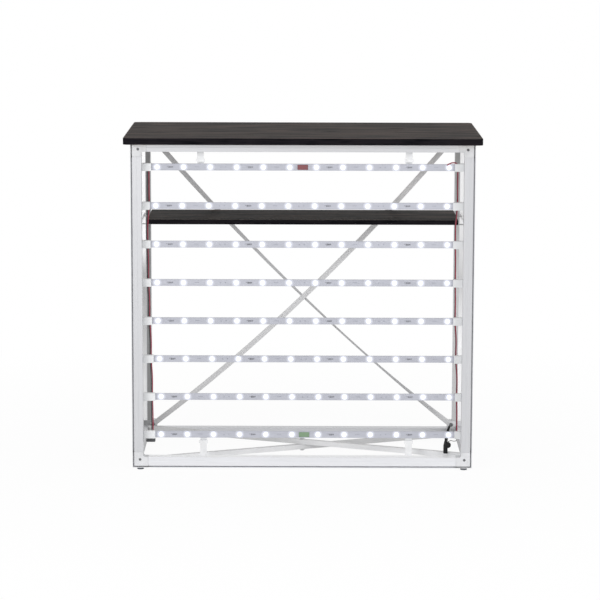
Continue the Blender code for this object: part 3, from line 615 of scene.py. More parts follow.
def skinned(name, colour, roughness, metallic=0.0, size=900.0, contrast=0.12, shine=0.5):
    """A cast, moulded or plated skin: fine speckle in height and gloss, soft clouds of tone, dull scuffs."""
    material, tree = new_finish(name)
    place = place_of(tree)
    skin = put(tree, "Group", {"Place": place, "Size": size}, node_tree=speckled_skin).outputs
    worn = scuffed(tree, place, Spread=0.6)
    tone = calc(tree, "ADD", skin["Cloud"], levels(tree, worn, 0.0, 0.2))
    stops = ((0.3, toned(colour, 1 - contrast)), (0.5, colour), (0.8, toned(colour, 1 + contrast)))
    dull = calc(tree, "ADD", skin["Speckle"], worn)
    look = {
        "Base Color": shades(tree, tone, *stops),
        "Roughness": levels(tree, dull, roughness - 0.05, roughness + 0.15, 0.3, 1.4),
        "Normal": relief(tree, skin["Speckle"], 0.15, 0.0003),
        "Metallic": metallic,
        "Specular IOR Level": shine,
    }
    return coated(material, look)


cast_finish = skinned("tumbled cast aluminium", CORNER_CAST, 0.45, metallic=0.4)
# The lower blocks' fronts: painted light on three of them, painted shade on the rear left one.
lower_painted_light_and_shade_finish = {
    place: skinned(f"{' '.join(place)} lower cast aluminium", toned(CORNER_CAST, share), 0.45, metallic=0.3)
    for place, share in LOWER_PAINTED_LIGHT_AND_SHADE.items()
}
screw_finish = skinned("grey plated screw", SCREW_GREY, 0.4, metallic=0.5, contrast=0.3)


def socket_screw(name, middle, out):
    """A screw head flush with the face: a rim that rolls over, a land, and a hexagon socket."""
    rim, length, socket = SOCKET_SCREW_RADIUS, SOCKET_SCREW_LENGTH, SOCKET_RADIUS
    rows = [(0, -length), (rim, -length), (rim, -SOCKET_SCREW_EDGE), (rim * 0.97, -SOCKET_ROLL)]
    rows += [(rim * 0.9, 0), (socket * 1.12, 0), (socket, -SOCKET_ROLL)]
    rows += [(socket, -SOCKET_DEPTH), (0, -SOCKET_DEPTH)]
    hexagon = [0, 0, 0, 0, 0, 0.6, 1, 1, 0]
    profile = [(radius, out * height) for radius, height in rows]
    fit(turned_piece(name, profile, middle, 1, 24, screw_finish, 30, hexagon), "frame", "zinc_steel")


def corner_blocks():
    """The eight blocks, each with its socket screw in the outer face."""
    for node, (face, side, level), (y_side, x_side, up), *_ in each_node("corner", FACES, SIDES, LEVELS):
        finishes = (cast_finish, lower_painted_light_and_shade_finish[face, side]) if level == "bottom" else (cast_finish,)
        fit(eased_copy(node, CORNER_EASE, finishes), "frame", "corner", node)
        corner = outer(node, x_side, y_side, -up)
        middle = corner + (-x_side * SOCKET_IN_X, 0, up * SOCKET_IN_Z)
        socket_screw(f"{node}_screw", middle, y_side)


corner_blocks()

# Levelling feet: dark moulded pads, hollow underneath and with a shallow waist, on zinc plated threaded
# studs that are screwed up into the lower corner blocks.
FOOT_SLATE = (0.12, 0.13, 0.145)
ZINC = (0.50, 0.505, 0.51)
PAD_TALL = 0.0067
PAD_EDGE = 0.0010
PAD_WAIST = 0.0006
PAD_HOLLOW = 0.0004
STUD_RADIUS = 0.003
STUD_IN_PAD = 0.0005
THREAD_PITCH = 0.001
THREAD_DEPTH = 0.0004
foot_finish = skinned("moulded slate plastic", FOOT_SLATE, 0.6, size=1500.0, contrast=0.25)
zinc_finish = skinned("zinc plate", ZINC, 0.34, metallic=0.9, size=1800.0, contrast=0.15)


def thread(middle, low, high, sides=20):
    """A stud closed at both ends, with a thread around it.

    Its radius drops by a triangle wave of the height over the pitch, less the angle over a full turn.
    """
    height = np.arange(low, high, THREAD_PITCH / 4)
    turn = np.arange(sides) / sides * math.tau
    wave = np.abs((height[:, None] / THREAD_PITCH - turn / math.tau) % 1.0 - 0.5) * 2
    radius = STUD_RADIUS - THREAD_DEPTH * wave
    radius[[0, -1]] = 0.0
    height[[0, -1]] = height[[1, -2]]
    circle = np.stack([np.cos(turn), np.sin(turn)], -1)
    flat = radius[..., None] * circle
    tall = np.broadcast_to(height[:, None, None], (*radius.shape, 1))
    points = np.asarray(middle) + np.concatenate([flat, tall], -1)
    return points, grid_faces(*radius.shape)


def feet():
    """Each foot's pad, turned from its hollow out over the edge and the waist to its top, and its stud."""
    for node, _, _, low, high in each_node("foot", FACES, SIDES):
        middle = (*(low + high)[:2] / 2, low[2])
        rim = (high[0] - low[0]) / 2
        waist = rim - PAD_WAIST
        inner = rim - PAD_EDGE
        rows = [(0, PAD_HOLLOW), (rim * 0.55, PAD_HOLLOW), (rim * 0.6, 0), (inner, 0)]
        rows += [(rim - PAD_EDGE * 0.3, PAD_EDGE * 0.3), (rim, PAD_EDGE), (rim, PAD_TALL * 0.42)]
        rows += [(waist, PAD_TALL * 0.5), (waist, PAD_TALL * 0.58), (rim, PAD_TALL * 0.66)]
        rows += [(rim, PAD_TALL - PAD_EDGE), (inner, PAD_TALL), (0, PAD_TALL)]
        pad = turned_piece(f"{node}_pad", rows, middle, 2, 40, foot_finish, 32)
        fit(pad, f"{node}_body", "foot", node)
        stud_form = thread(middle, PAD_TALL - STUD_IN_PAD, high[2] - low[2])
        stud = make_piece(f"{node}_stud", *stud_form, (zinc_finish,), smooth=50)
        fit(stud, f"{node}_body", "zinc_steel")


feet()

# Base bars: two square aluminium bars crossed corner to corner, one over the other, cut at a slant where
# they meet the depth rails and bolted through their middle.
BASE_EASE = 0.0011
# Painted light and shade: the base bars are near-white for light, lit at the front, shaded at the back and on
# top.
BASE_PAINTED_LIGHT_WHITE = (0.95, 0.953, 0.96)
BASE_SIDE_LIGHT_AND_SHADE = ((-0.20, 0.98), (-0.03, 0.92), (0.03, 0.66), (0.20, 0.60))  # painted light and shade: share of that white, front to back
BASE_TOP_LIGHT_AND_SHADE = ((-0.20, 0.75), (-0.03, 0.70), (0.03, 0.62), (0.20, 0.56))
BOLT_HEAD_RADIUS = 0.0062
BOLT_CHAMFER = 0.0008
BOLT_FLAT = 0.86  # share of the head's radius on its flat end
BOLT_SHANK = 0.003
WASHER_RADIUS = 0.0095
WASHER_THICKNESS = 0.0010
base_top_painted_finish = drawn_metal("top of a base bar with painted light and shade", BASE_PAINTED_LIGHT_WHITE, 0, 0.0, (1, BASE_TOP_LIGHT_AND_SHADE))
base_side_painted_finish = drawn_metal("side of a base bar with painted light and shade", BASE_PAINTED_LIGHT_WHITE, 0, 0.0, (1, BASE_SIDE_LIGHT_AND_SHADE))


def capped(rings):
    """Rings of points with one more at either end, drawn in to that end's middle."""
    first, last = (np.broadcast_to(ring.mean(0), ring.shape)[None] for ring in rings[[0, -1]])
    return np.concatenate([first, rings, last])


def solid_bar(outline, start, end, across, inward):
    """A capped bar: the outline carried from start to end, either of which may vary by point."""
    section = outline[:, :1] * across + outline[:, 1:] * inward
    return capped(np.stack([np.asarray(at) + section for at in (start, end)])), grid_faces(4, len(outline))


def base_bars():
    """Each bar: a square carried along its slant, cut off by the depth rails, with its own painted shade on
    top.
    """
    for node, slope in (("upper_base_bar", -1), ("lower_base_bar", 1)):
        low, high = node_box(node)
        thick = high[2] - low[2]
        outline = eased(rectangle(-thick / 2, 0, thick / 2, thick), BASE_EASE)
        lean = math.atan2(slope * (high[1] - 0.5 * thick), high[0])
        along = np.array([math.cos(lean), math.sin(lean), 0])
        across = np.array([-math.sin(lean), math.cos(lean), 0])
        reach = [(x - outline[:, :1] * across[0]) / along[0] for x in (-high[0], high[0])]
        ends = [low[2] * AXES[2] + way * along for way in reach]
        rows, faces = solid_bar(outline, *ends, across, AXES[2])
        parts = np.ones((3, len(outline)), int)
        parts[1, on_line(outline, 1, thick)] = 0
        piece = make_piece(f"{node}_bar", rows, faces, (base_top_painted_finish, base_side_painted_finish), parts.ravel())
        fit(piece, "frame", "aluminium", node)


def base_bolt():
    """The bolt, turned from its lower head up through both washers and the bars, with six-sided heads."""
    low, high = (corner[2] for corner in node_box("base_bolt"))
    top_seat = node_box("upper_base_bar")[1][2]
    under_seat = node_box("lower_base_bar")[0][2]
    head, shank, washer = BOLT_HEAD_RADIUS, BOLT_SHANK, WASHER_RADIUS
    under = under_seat - WASHER_THICKNESS
    over = top_seat + WASHER_THICKNESS
    rows = [(0, low), (head * BOLT_FLAT, low), (head, low + BOLT_CHAMFER), (head, under), (washer, under)]
    rows += [(washer, under_seat), (shank, under_seat), (shank, top_seat), (washer, top_seat), (washer, over)]
    rows += [(head, over), (head, high - BOLT_CHAMFER), (head * BOLT_FLAT, high), (0, high)]
    hexagon = [0, 0, 1, 1, 0, 0, 0, 0, 0, 0, 1, 1, 0, 0]
    piece = turned_piece("base_bolt_turned", rows, (0, 0, 0), 2, 36, zinc_finish, 25, hexagon)
    fit(piece, "frame", "zinc_steel", "base_bolt")


base_bars()
base_bolt()

# Crossed webbing: two grey woven straps between the rear corner blocks, a flat one painted lighter and one
# that turns its edge to the front between its ends, painted darker as shade, each screwed down through a
# washer.
STRAP_WIDE = 0.016
STRAP_THICK = 0.0012
FLAT_SAG = 0.050
TWISTED_SAG = 0.046
TWISTED_BOW = 0.0106
TURN_MOST = math.radians(68)
TURN_SOON = 3
TURN_LATE = 10
TURN_ENDS = 0.02
STRAP_STEPS = 160
STRAP_TAIL = 0.007
THREADS_ACROSS = 14
THREAD_RUN = 0.0016
# Painted light and shade: the flat strap's grey is painted lighter and the turned strap's darker.
LIT_WEB_GREY = (0.84, 0.84, 0.85)
SHADED_WEB_GREY = (0.66, 0.66, 0.67)
FLAT_WEB_LIGHT_AND_SHADE = ((-0.47, 0.54), (-0.33, 0.86), (-0.2, 0.92), (0.0, 0.92))  # painted light and shade: share of the colour along X
FLAT_WEB_LIGHT_AND_SHADE += ((0.22, 1.02), (0.31, 1.16), (0.44, 0.72))
TWISTED_WEB_LIGHT_AND_SHADE = ((-0.44, 0.78), (-0.36, 1.05), (-0.29, 1.32), (-0.21, 1.0))
TWISTED_WEB_LIGHT_AND_SHADE += ((0.05, 0.88), (0.34, 0.92), (0.44, 1.05))
SCREW_HEAD_RADIUS = 0.0045
SCREW_SHANK = 0.0019
SCREW_SOCKET = ((0, 0.0009), (0.0012, 0.0009), (0.0016, 0.0001))  # radius, depth
SCREW_HEAD = ((0.55, 0), (0.85, 0.0004), (1, 0.0012), (1, 0.0017))  # share of the head's radius, depth
SCREW_WASHER = ((1.3, 0.0018), (1.32, 0.0024))
SHANK_START = 0.0025


def make_weave(tree, given):
    """Crossings as high as the product of a sine across and one along, and a fuzzy tone."""
    threads = put(tree, "SeparateXYZ", {0: given["Thread"]}).outputs
    waves = [calc(tree, "SINE", calc(tree, "MULTIPLY", threads[i], math.pi)) for i in (0, 1)]
    crossing = calc(tree, "MULTIPLY", *waves)
    height = levels(tree, crossing, 0.0, 1.0, -1.0, 1.0)
    return {"Height": height, "Tone": noise(tree, given["Thread"], 0.8, 4.0)}


weave = new_group("weave", {"Thread": (0, 0, 0)}, make_weave)


def webbing(name, colour, painted_light_and_shade):
    """Woven tape, its UV in threads across and along: rounded crossings with painted shade in their dips,
    fuzzy tone and worn places.
    """
    material, tree = new_finish(name)
    thread_count = put(tree, "UVMap", uv_map="surface").outputs[0]
    cloth = put(tree, "Group", {"Thread": thread_count}, node_tree=weave).outputs
    worn = scuffed(tree, place_of(tree), Spread=0.55)
    tone = calc(tree, "ADD", cloth["Height"], cloth["Tone"])
    tone = calc(tree, "SUBTRACT", tone, levels(tree, worn, 0.0, 0.3))
    # Painted shade: the dips of the weave are darker.
    stops = ((0.2, toned(colour, 0.6)), (0.6, colour), (1.0, toned(colour, 1.25)))
    dyed = shades(tree, levels(tree, tone, 0.0, 1.0, 0.2, 1.6), *stops)
    look = {
        "Base Color": shared(tree, dyed, 0, painted_light_and_shade),
        "Roughness": levels(tree, cloth["Tone"], 0.75, 0.95),
        "Normal": relief(tree, cloth["Height"], 0.5, 0.0005),
        "Sheen Weight": 0.2,
    }
    return coated(material, look)


def unit(vectors):
    """Each vector divided by its length."""
    return vectors / np.linalg.norm(vectors, axis=1, keepdims=True)


def strap(start, end, turn_most, sag, bow):
    """A tape carried along its hanging line, which it may turn about.

    The line runs straight from start to end, drops by 4 sag t (1 - t) and moves back by the bow times sin^2
    of pi t. Between its flat ends it turns by the most times (1 - (1 - way)^soon) (1 - way^late).
    """
    tail = STRAP_TAIL / np.linalg.norm(end - start)
    t = np.linspace(-tail, 1 + tail, STRAP_STEPS + 1)[:, None]
    line = start + (end - start) * t
    line = line + bow * np.sin(math.pi * np.clip(t, 0, 1)) ** 2 * AXES[1] - 4 * sag * t * (1 - t) * AXES[2]
    along = unit(np.gradient(line, axis=0))
    flat = unit(np.cross(along, AXES[1]))
    way = np.clip((t - TURN_ENDS) / (1 - 2 * TURN_ENDS), 0, 1)
    turn = turn_most * (1 - (1 - way) ** TURN_SOON) * (1 - way**TURN_LATE)
    wide = flat * np.cos(turn) + np.cross(along, flat) * np.sin(turn)
    deep = np.cross(along, wide)
    half_w, half_t = STRAP_WIDE / 2, STRAP_THICK / 2
    section = eased(rectangle(-half_w, -half_t, half_w, half_t), half_t * 0.9, 3)
    ring = np.vstack([section, section[:1]])
    points = line[:, None] + ring[None, :, :1] * wide[:, None] + ring[None, :, 1:] * deep[:, None]
    walked = np.concatenate([[0], np.cumsum(np.linalg.norm(np.diff(line, axis=0), axis=1))])
    across_threads = np.broadcast_to((ring[:, 0] / STRAP_WIDE + 0.5) * THREADS_ACROSS, points.shape[:2])
    along_threads = np.broadcast_to(walked[:, None] / THREAD_RUN, points.shape[:2])
    uv = np.stack([across_threads, along_threads], -1)
    return capped(points), np.concatenate([uv[:1], uv, uv[-1:]]), walked[-1]


lit_web_finish = webbing("grey webbing with painted light", LIT_WEB_GREY, FLAT_WEB_LIGHT_AND_SHADE)
shaded_web_finish = webbing("grey webbing with painted shade", SHADED_WEB_GREY, TWISTED_WEB_LIGHT_AND_SHADE)


def straps():
    """Both straps, each from an upper screw to the lower one across, against the rear corner blocks."""
    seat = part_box("flat_strap")[1].y - STRAP_THICK / 2
    for node, side, other, turn_most, sag, bow, finish in (
        ("flat_strap", "right", "left", 0.0, FLAT_SAG, 0.0, lit_web_finish),
        ("twisted_strap", "left", "right", TURN_MOST, TWISTED_SAG, TWISTED_BOW, shaded_web_finish),
    ):
        screws = []
        for place in (f"top_{side}", f"bottom_{other}"):
            x, _, z = sum(node_box(f"{place}_strap_screw")) / 2
            screws.append(np.array([x, seat, z]))
        points, uv, length = strap(*screws, turn_most, sag, bow)
        faces = grid_faces(*points.shape[:2], ring_columns=False)
        piece = make_piece(f"{node}_web", points, faces, (finish,), uv=uv, smooth=50)
        fit(piece, "frame", "webbing", node)


def strap_screws():
    """Each screw, turned from its hexagon socket out over the round head and the washer to the shank."""
    head = SCREW_HEAD_RADIUS
    for node, _, _, low, high in each_node("strap_screw", LEVELS, SIDES):
        middle = (low + high) / 2 * (1, 0, 1) + low * AXES[1]
        length = high[1] - low[1]
        rows = [*SCREW_SOCKET, *[(head * share, depth) for share, depth in SCREW_HEAD + SCREW_WASHER]]
        rows += [(SCREW_SHANK, SHANK_START), (SCREW_SHANK, length), (0, length)]
        hexagon = [1, 1, 0.8, 0, 0, 0, 0, 0, 0, 0, 0, 0]
        piece = turned_piece(f"{node}_turned", rows, middle, 1, 24, screw_finish, 30, hexagon)
        fit(piece, "frame", "zinc_steel", node)


straps()
strap_screws()

# Shelf rails: slim drawn aluminium bars between the posts at either end of the shelf. Each carries two zinc
# plated steel pins, pressed into it, that the shelf lies on.
SHELF_RAIL_EASE = 0.0009
PIN_CHAMFER = 0.0006
# Painted light: the shelf rails are near-white, as if lit to white.
shelf_rail_painted_light_finish = drawn_metal("shelf rail with painted light", PAINTED_LIGHT_WHITE, 1, metallic=0.6)


def shelf_rails():
    """Each rail, a rectangle carried from the front post to the rear one."""
    for node, _, _, low, high in each_node("shelf_rail", SIDES):
        width, length, height = high - low
        outline = eased(rectangle(0, 0, width, height), SHELF_RAIL_EASE)
        rows, faces = solid_bar(outline, low, low + length * AXES[1], AXES[0], AXES[2])
        fit(make_piece(f"{node}_bar", rows, faces, (shelf_rail_painted_light_finish,)), "frame", "aluminium", node)


def shelf_pins():
    """Each pin, a cylinder along X with chamfered ends."""
    for node, _, _, low, high in each_node("shelf_pin", FACES, SIDES):
        radius = (high[2] - low[2]) / 2
        narrow = radius - PIN_CHAMFER
        rows = [(0, low[0]), (narrow, low[0]), (radius, low[0] + PIN_CHAMFER)]
        rows += [(radius, high[0] - PIN_CHAMFER), (narrow, high[0]), (0, high[0])]
        middle = (low + high) / 2 * (0, 1, 1)
        piece = turned_piece(f"{node}_turned", rows, middle, 0, 20, zinc_finish, 30)
        fit(piece, "frame", "zinc_steel", node)


shelf_rails()
shelf_pins()

# Boards: the shelf and the countertop are chipboard under dark wood-grain laminate with a black edge band.
# The shelf lies loose on its pins, and the top drops over the frame with a rebate underneath.
BOARD_EASE = 0.0010
TOP_CORNER = 0.014
SHELF_CORNER = 0.0015
REBATE_IN = 0.0185
REBATE_DEPTH = 0.0103
RUB_RINGS = (0.040, 0.008, 0.003)  # rings on the top, in from its edge
RUB_AT_RINGS = (0, 0, 0.4)
EASE_STEPS = 4
TOP_BROWN = (0.050, 0.045, 0.0435)
SHELF_BROWN = (0.048, 0.0475, 0.0475)
BAND_BLACK = (0.0068, 0.0068, 0.0090)
BOARD_SHINE = 0.005
CHIPBOARD = (0.20, 0.15, 0.11)
FIGURE_RUN = (3.2, 26.0, 26.0)
PORE_RUN = (14.0, 420.0, 420.0)


def make_grain(tree, given):
    """Wood figure and pores, both drawn out along X."""
    runs = [put(tree, "Mapping", {"Vector": given["Place"], "Scale": run}) for run in (FIGURE_RUN, PORE_RUN)]
    figure = noise(tree, runs[0].outputs[0], 1.6, 6.0, Roughness=0.62, Distortion=0.6)
    pores = noise(tree, runs[1].outputs[0], 1.0, 3.0, Roughness=0.7)
    return {"Grain": figure, "Pore": levels(tree, pores, 0.0, 1.0, 0.35, 0.65)}


wood_grain = new_group("wood grain", {"Place": (0, 0, 0)}, make_grain)


def laminate(name, colour, roughness):
    """Wood-grain laminate: figure and pores, a paler rim where hands and boxes rub it, and dull scuffs."""
    material, tree = new_finish(name)
    place = place_of(tree)
    wood = put(tree, "Group", {"Place": place}, node_tree=wood_grain).outputs
    worn = scuffed(tree, place, Spread=0.57, Size=60.0)
    rim = put(tree, "Attribute", attribute_name="rub").outputs["Fac"]
    rubbed = calc(tree, "MULTIPLY", rim, wood["Pore"])
    tone = calc(tree, "ADD", levels(tree, wood["Pore"], -0.09, 0.09), wood["Grain"])
    tone = calc(tree, "ADD", tone, levels(tree, rubbed, 0.0, 0.25))
    brown = (1.12 * colour[0], 0.98 * colour[1], 0.9 * colour[2])
    stops = [(0.34, toned(colour, 0.45)), (0.48, colour)]
    stops += [(0.60, toned(brown, 1.55)), (0.95, toned(brown, 2.3))]
    dull = calc(tree, "ADD", wood["Pore"], worn)
    look = {
        "Base Color": shades(tree, tone, *stops),
        "Roughness": levels(tree, dull, roughness - 0.06, roughness + 0.14, 0.2, 1.4),
        "Normal": relief(tree, wood["Pore"], 0.12, 0.0003),
        "Specular IOR Level": BOARD_SHINE,
    }
    return coated(material, look)


def board_rows(middle, half_x, half_y, corner, insets, heights):
    """Rings round a board at these insets and heights, each a rectangle with quarter circles for corners.

    A corner's circle shrinks as the ring moves in, down to a tenth of a millimetre.
    """
    inset = np.asarray(insets, float)[:, None, None]
    radius = np.maximum(corner - inset, 0.0001)
    turn = np.linspace(0, math.pi / 2, 10)[None, :] + np.arange(4)[:, None] * math.pi / 2
    sign_x = np.array([1, -1, -1, 1])[:, None]
    sign_y = np.array([1, 1, -1, -1])[:, None]
    x = sign_x * (half_x - inset - radius) + radius * np.cos(turn)
    y = sign_y * (half_y - inset - radius) + radius * np.sin(turn)
    z = np.broadcast_to(np.asarray(heights, float)[:, None, None], x.shape)
    return (np.asarray(middle) + np.stack([x, y, z], -1)).reshape(len(insets), -1, 3)


def board(name, node, corner, rebate, finishes):
    """A board, from its top out over the quarter-round edges and under, up into its rebate if it has one.

    Its finishes are for the top, the edge and the underside.
    """
    low, high = node_box(node)
    middle = (low + high) / 2 * (1, 1, 0)
    half_x, half_y, _ = (high - low) / 2
    roll = np.linspace(0, math.pi / 2, EASE_STEPS)
    rows = [(inset, high[2]) for inset in RUB_RINGS]
    rows += [(BOARD_EASE * (1 - math.sin(a)), high[2] - BOARD_EASE * (1 - math.cos(a))) for a in roll]
    rows += [(BOARD_EASE * (1 - math.cos(a)), low[2] + BOARD_EASE * (1 - math.sin(a))) for a in roll]
    edge_ends = len(rows)
    if rebate:
        rows += [(REBATE_IN, low[2]), (REBATE_IN, low[2] + rebate)]
    points = board_rows(middle, half_x, half_y, corner, *zip(*rows))
    count = points.shape[1]
    last = (len(rows) - 1) * count
    faces = [*grid_faces(len(rows), count).tolist(), list(range(count)), list(range(last, last + count))]
    cell = np.arange(len(rows) - 1)
    part_of_row = np.where(cell <= len(RUB_RINGS), 0, np.where(cell < edge_ends - 2, 1, 2))
    parts = np.concatenate([np.repeat(part_of_row, count), [0, 2]])
    rub_of_row = [*RUB_AT_RINGS, *np.ones(2 * EASE_STEPS), *np.zeros(len(rows) - edge_ends)]
    piece = make_piece(name, points, faces, finishes, parts, rub=np.repeat(rub_of_row, count), smooth=40)
    piece.modifiers.new("flat faces stay flat", "WEIGHTED_NORMAL").keep_sharp = True
    return piece


top_finish = laminate("dark wood-grain laminate", TOP_BROWN, 0.52)
shelf_finish = laminate("darker shelf laminate", SHELF_BROWN, 0.5)
edge_finish = laminate("black edge band", BAND_BLACK, 0.45)
under_finish = laminate("backing sheet", CHIPBOARD, 0.7)
shelf_board = board("shelf_board", "shelf", SHELF_CORNER, 0.0, (shelf_finish, edge_finish, shelf_finish))
fit(shelf_board, "shelf_body", "shelf_laminate", "shelf")
top_finishes = (top_finish, edge_finish, under_finish)
top_board = board("countertop_board", "countertop", TOP_CORNER, REBATE_DEPTH, top_finishes)
fit(top_board, "countertop_body", "top_laminate", "countertop")

# Light bars: pale extruded strips that carry twelve lit lenses each, with the drive parts between every third
# lamp. A moulded clip behind either post holds the strip's ends.
BAR_NODES = [f"light_bar_{number}" for number in range(1, 9)]
STRIP_EASE = 0.0004
STRIP_LIP = 0.0014
STRIP_SINK = 0.0005
STRIP_HEIGHT = 0.020
STRIP_THICK = 0.004
STRIP_IN_CLIP = 0.001
CLIP_LONG = 0.034
CLIP_STEP = 0.0087  # from the clip's front back to the strip's
CLIP_EASE = 0.0012
LENS_PITCH = 0.07726
LENS_COUNT = 12
LENS_SIDES = 16
LENS_ROWS = [(0.0075, 0.0012), (0.0075, -0.0003), (0.0071, -0.0008), (0.0064, -0.0010)]  # radius, way back
LENS_ROWS += [(0.0060, -0.0019), (0.0050, -0.0030), (0.0034, -0.0037), (0.0016, -0.0036), (0, -0.0034)]
STRIP_GREY = (0.485, 0.495, 0.553)
CLIP_WHITE = (0.80, 0.81, 0.82)
CHIP_GREY = (0.23, 0.235, 0.265)
TRACE_GREY = (0.30, 0.31, 0.36)
LENS_WHITE = (0.93, 0.95, 1.0)
LENS_RIM = (0.72, 0.76, 0.92)
LENS_GLOW = 1.0
SPILL_GLOW = 0.42
SPILL_NEAR = 0.05  # all of the lens's light on the strip, in lamp pitches from the lens's middle
SPILL_FAR = 0.20  # none of it
STRIP_DRAWN = (0.05, 1.0, 1.0)
SMALL_THICK = 0.0012
CHIPS = [(-0.0085, 0.0012, 0.0018), (-0.0032, 0.0, 0.0044), (0.0018, 0.0, 0.0038), (0.0064, 0.0004, 0.0034)]
DASHES = [(-0.0040, 0.0006, 0.0034), (0.0004, 0.0006, 0.0034), (0.0048, 0.0006, 0.0034)]
PADS = [(-0.0075, -0.0004, 0.0024), (0.0070, 0.0004, 0.0024)]
clip_finish = skinned("white moulded clip", CLIP_WHITE, 0.45, contrast=0.05)
chip_finish = skinned("dark drive parts", CHIP_GREY, 0.5, size=2500.0, contrast=0.35)
trace_finish = skinned("grey traces", TRACE_GREY, 0.5, size=2500.0, contrast=0.3)


def lit_strip(name):
    """The strip's coat: fine streaks and clouds of tone, whitened by the light that each lens spills.

    Its UV counts lamps along and up. The way to the nearest lens is the length of the vector whose parts are
    along, less its nearest whole number, and up.
    """
    material, tree = new_finish(name)
    place = place_of(tree)
    lines = drawn_lines(tree, place, STRIP_DRAWN)
    tone = calc(tree, "ADD", lines["Streak"], lines["Cloud"])
    stops = ((0.3, toned(STRIP_GREY, 0.88)), (0.5, STRIP_GREY), (0.7, toned(STRIP_GREY, 1.1)))
    lamps = put(tree, "SeparateXYZ", {0: put(tree, "UVMap", uv_map="surface").outputs[0]}).outputs
    sideways = calc(tree, "SUBTRACT", lamps[0], calc(tree, "ROUND", lamps[0]))
    offset = put(tree, "CombineXYZ", {0: sideways, 1: lamps[1]}).outputs[0]
    away = put(tree, "VectorMath", {0: offset}, operation="LENGTH").outputs["Value"]
    spill = levels(tree, away, 0.0, SPILL_GLOW, SPILL_FAR, SPILL_NEAR, interpolation_type="SMOOTHSTEP")
    look = {
        "Base Color": shades(tree, levels(tree, tone, 0.0, 1.0, 0.0, 2.0), *stops),
        "Roughness": levels(tree, scuffed(tree, place), 0.4, 0.6),
        "Emission Strength": spill,
        "Emission Color": (*LENS_WHITE, 1.0),
    }
    return coated(material, look)


def lit_lens(name):
    """A clear lens that glows: its UV runs from 0 at the rim to 1 in the middle, where it is whitest."""
    material, tree = new_finish(name)
    to_middle = put(tree, "SeparateXYZ", {0: put(tree, "UVMap", uv_map="surface").outputs[0]}).outputs[0]
    skin = put(tree, "Group", {"Place": place_of(tree), "Size": 1600.0}, node_tree=speckled_skin).outputs
    ripple = calc(tree, "ADD", levels(tree, skin["Speckle"], -0.08, 0.08), to_middle)
    stops = ((0.0, toned(LENS_RIM, 0.72)), (0.25, LENS_RIM), (0.55, LENS_WHITE), (1.0, (1, 1, 1)))
    glow = shades(tree, ripple, *stops)
    look = {
        "Base Color": glow,
        "Emission Color": glow,
        "Roughness": levels(tree, skin["Speckle"], 0.08, 0.2),
        "Emission Strength": LENS_GLOW,
        "Coat Weight": 0.6,
    }
    return coated(material, look)


strip_finish = lit_strip("pale lit strip")
lens_finish = lit_lens("lit lens")


def boxes(centres, sizes):
    """Blocks, each the eight corners of a unit cube times its size plus its centre."""
    centre = np.reshape(centres, (-1, 1, 3))
    size = np.broadcast_to(np.reshape(sizes, (-1, 1, 3)), (len(centre), 1, 3))
    cube = np.stack(np.meshgrid([-0.5, 0.5], [-0.5, 0.5], [-0.5, 0.5], indexing="ij"), -1).reshape(8, 3)
    sides = np.array([[0, 1, 3, 2], [4, 6, 7, 5], [0, 4, 5, 1], [2, 3, 7, 6], [0, 2, 6, 4], [1, 5, 7, 3]])
    faces = sides[None] + 8 * np.arange(len(centre))[:, None, None]
    return centre + cube * size, faces.reshape(-1, 4)


def strip_outline():
    """The strip's section, back from its front and up from its middle: a sunk face between two lips."""
    half = STRIP_HEIGHT / 2
    lip = half - STRIP_LIP
    sunk = lip - STRIP_SINK / 2
    corners = [(0, -half), (0, -lip), (STRIP_SINK, -sunk), (STRIP_SINK, sunk), (0, lip), (0, half)]
    return eased([*corners, (STRIP_THICK, half), (STRIP_THICK, -half)], STRIP_EASE, 3)


def small_parts(name, gaps, rows, tall, finish):
    """Small flat parts on the strip: in each gap a block for each row of place along, rise and width."""
    along, rise, wide = np.array(rows).T[..., None]
    places = gaps[:, None] + along * AXES[0] + rise * AXES[2] + STRIP_SINK * AXES[1]
    sizes = np.hstack([wide, np.full_like(wide, SMALL_THICK), wide * tall])
    points, faces = boxes(places, np.broadcast_to(sizes, places.shape))
    fit(make_piece(name, points, faces, (finish,)), "frame", "light_bar")


def clips(node, low, high):
    """The two end clips, each a block with soft edges that takes the strip's end."""
    size = np.array([CLIP_LONG, high[1] - low[1], high[2] - low[2]])
    points, faces = boxes(np.stack([low + size / 2, high - size / 2]), size)
    fit(bevelled(make_piece(f"{node}_clips", points, faces, (clip_finish,)), CLIP_EASE, 3), "frame", "hanger")


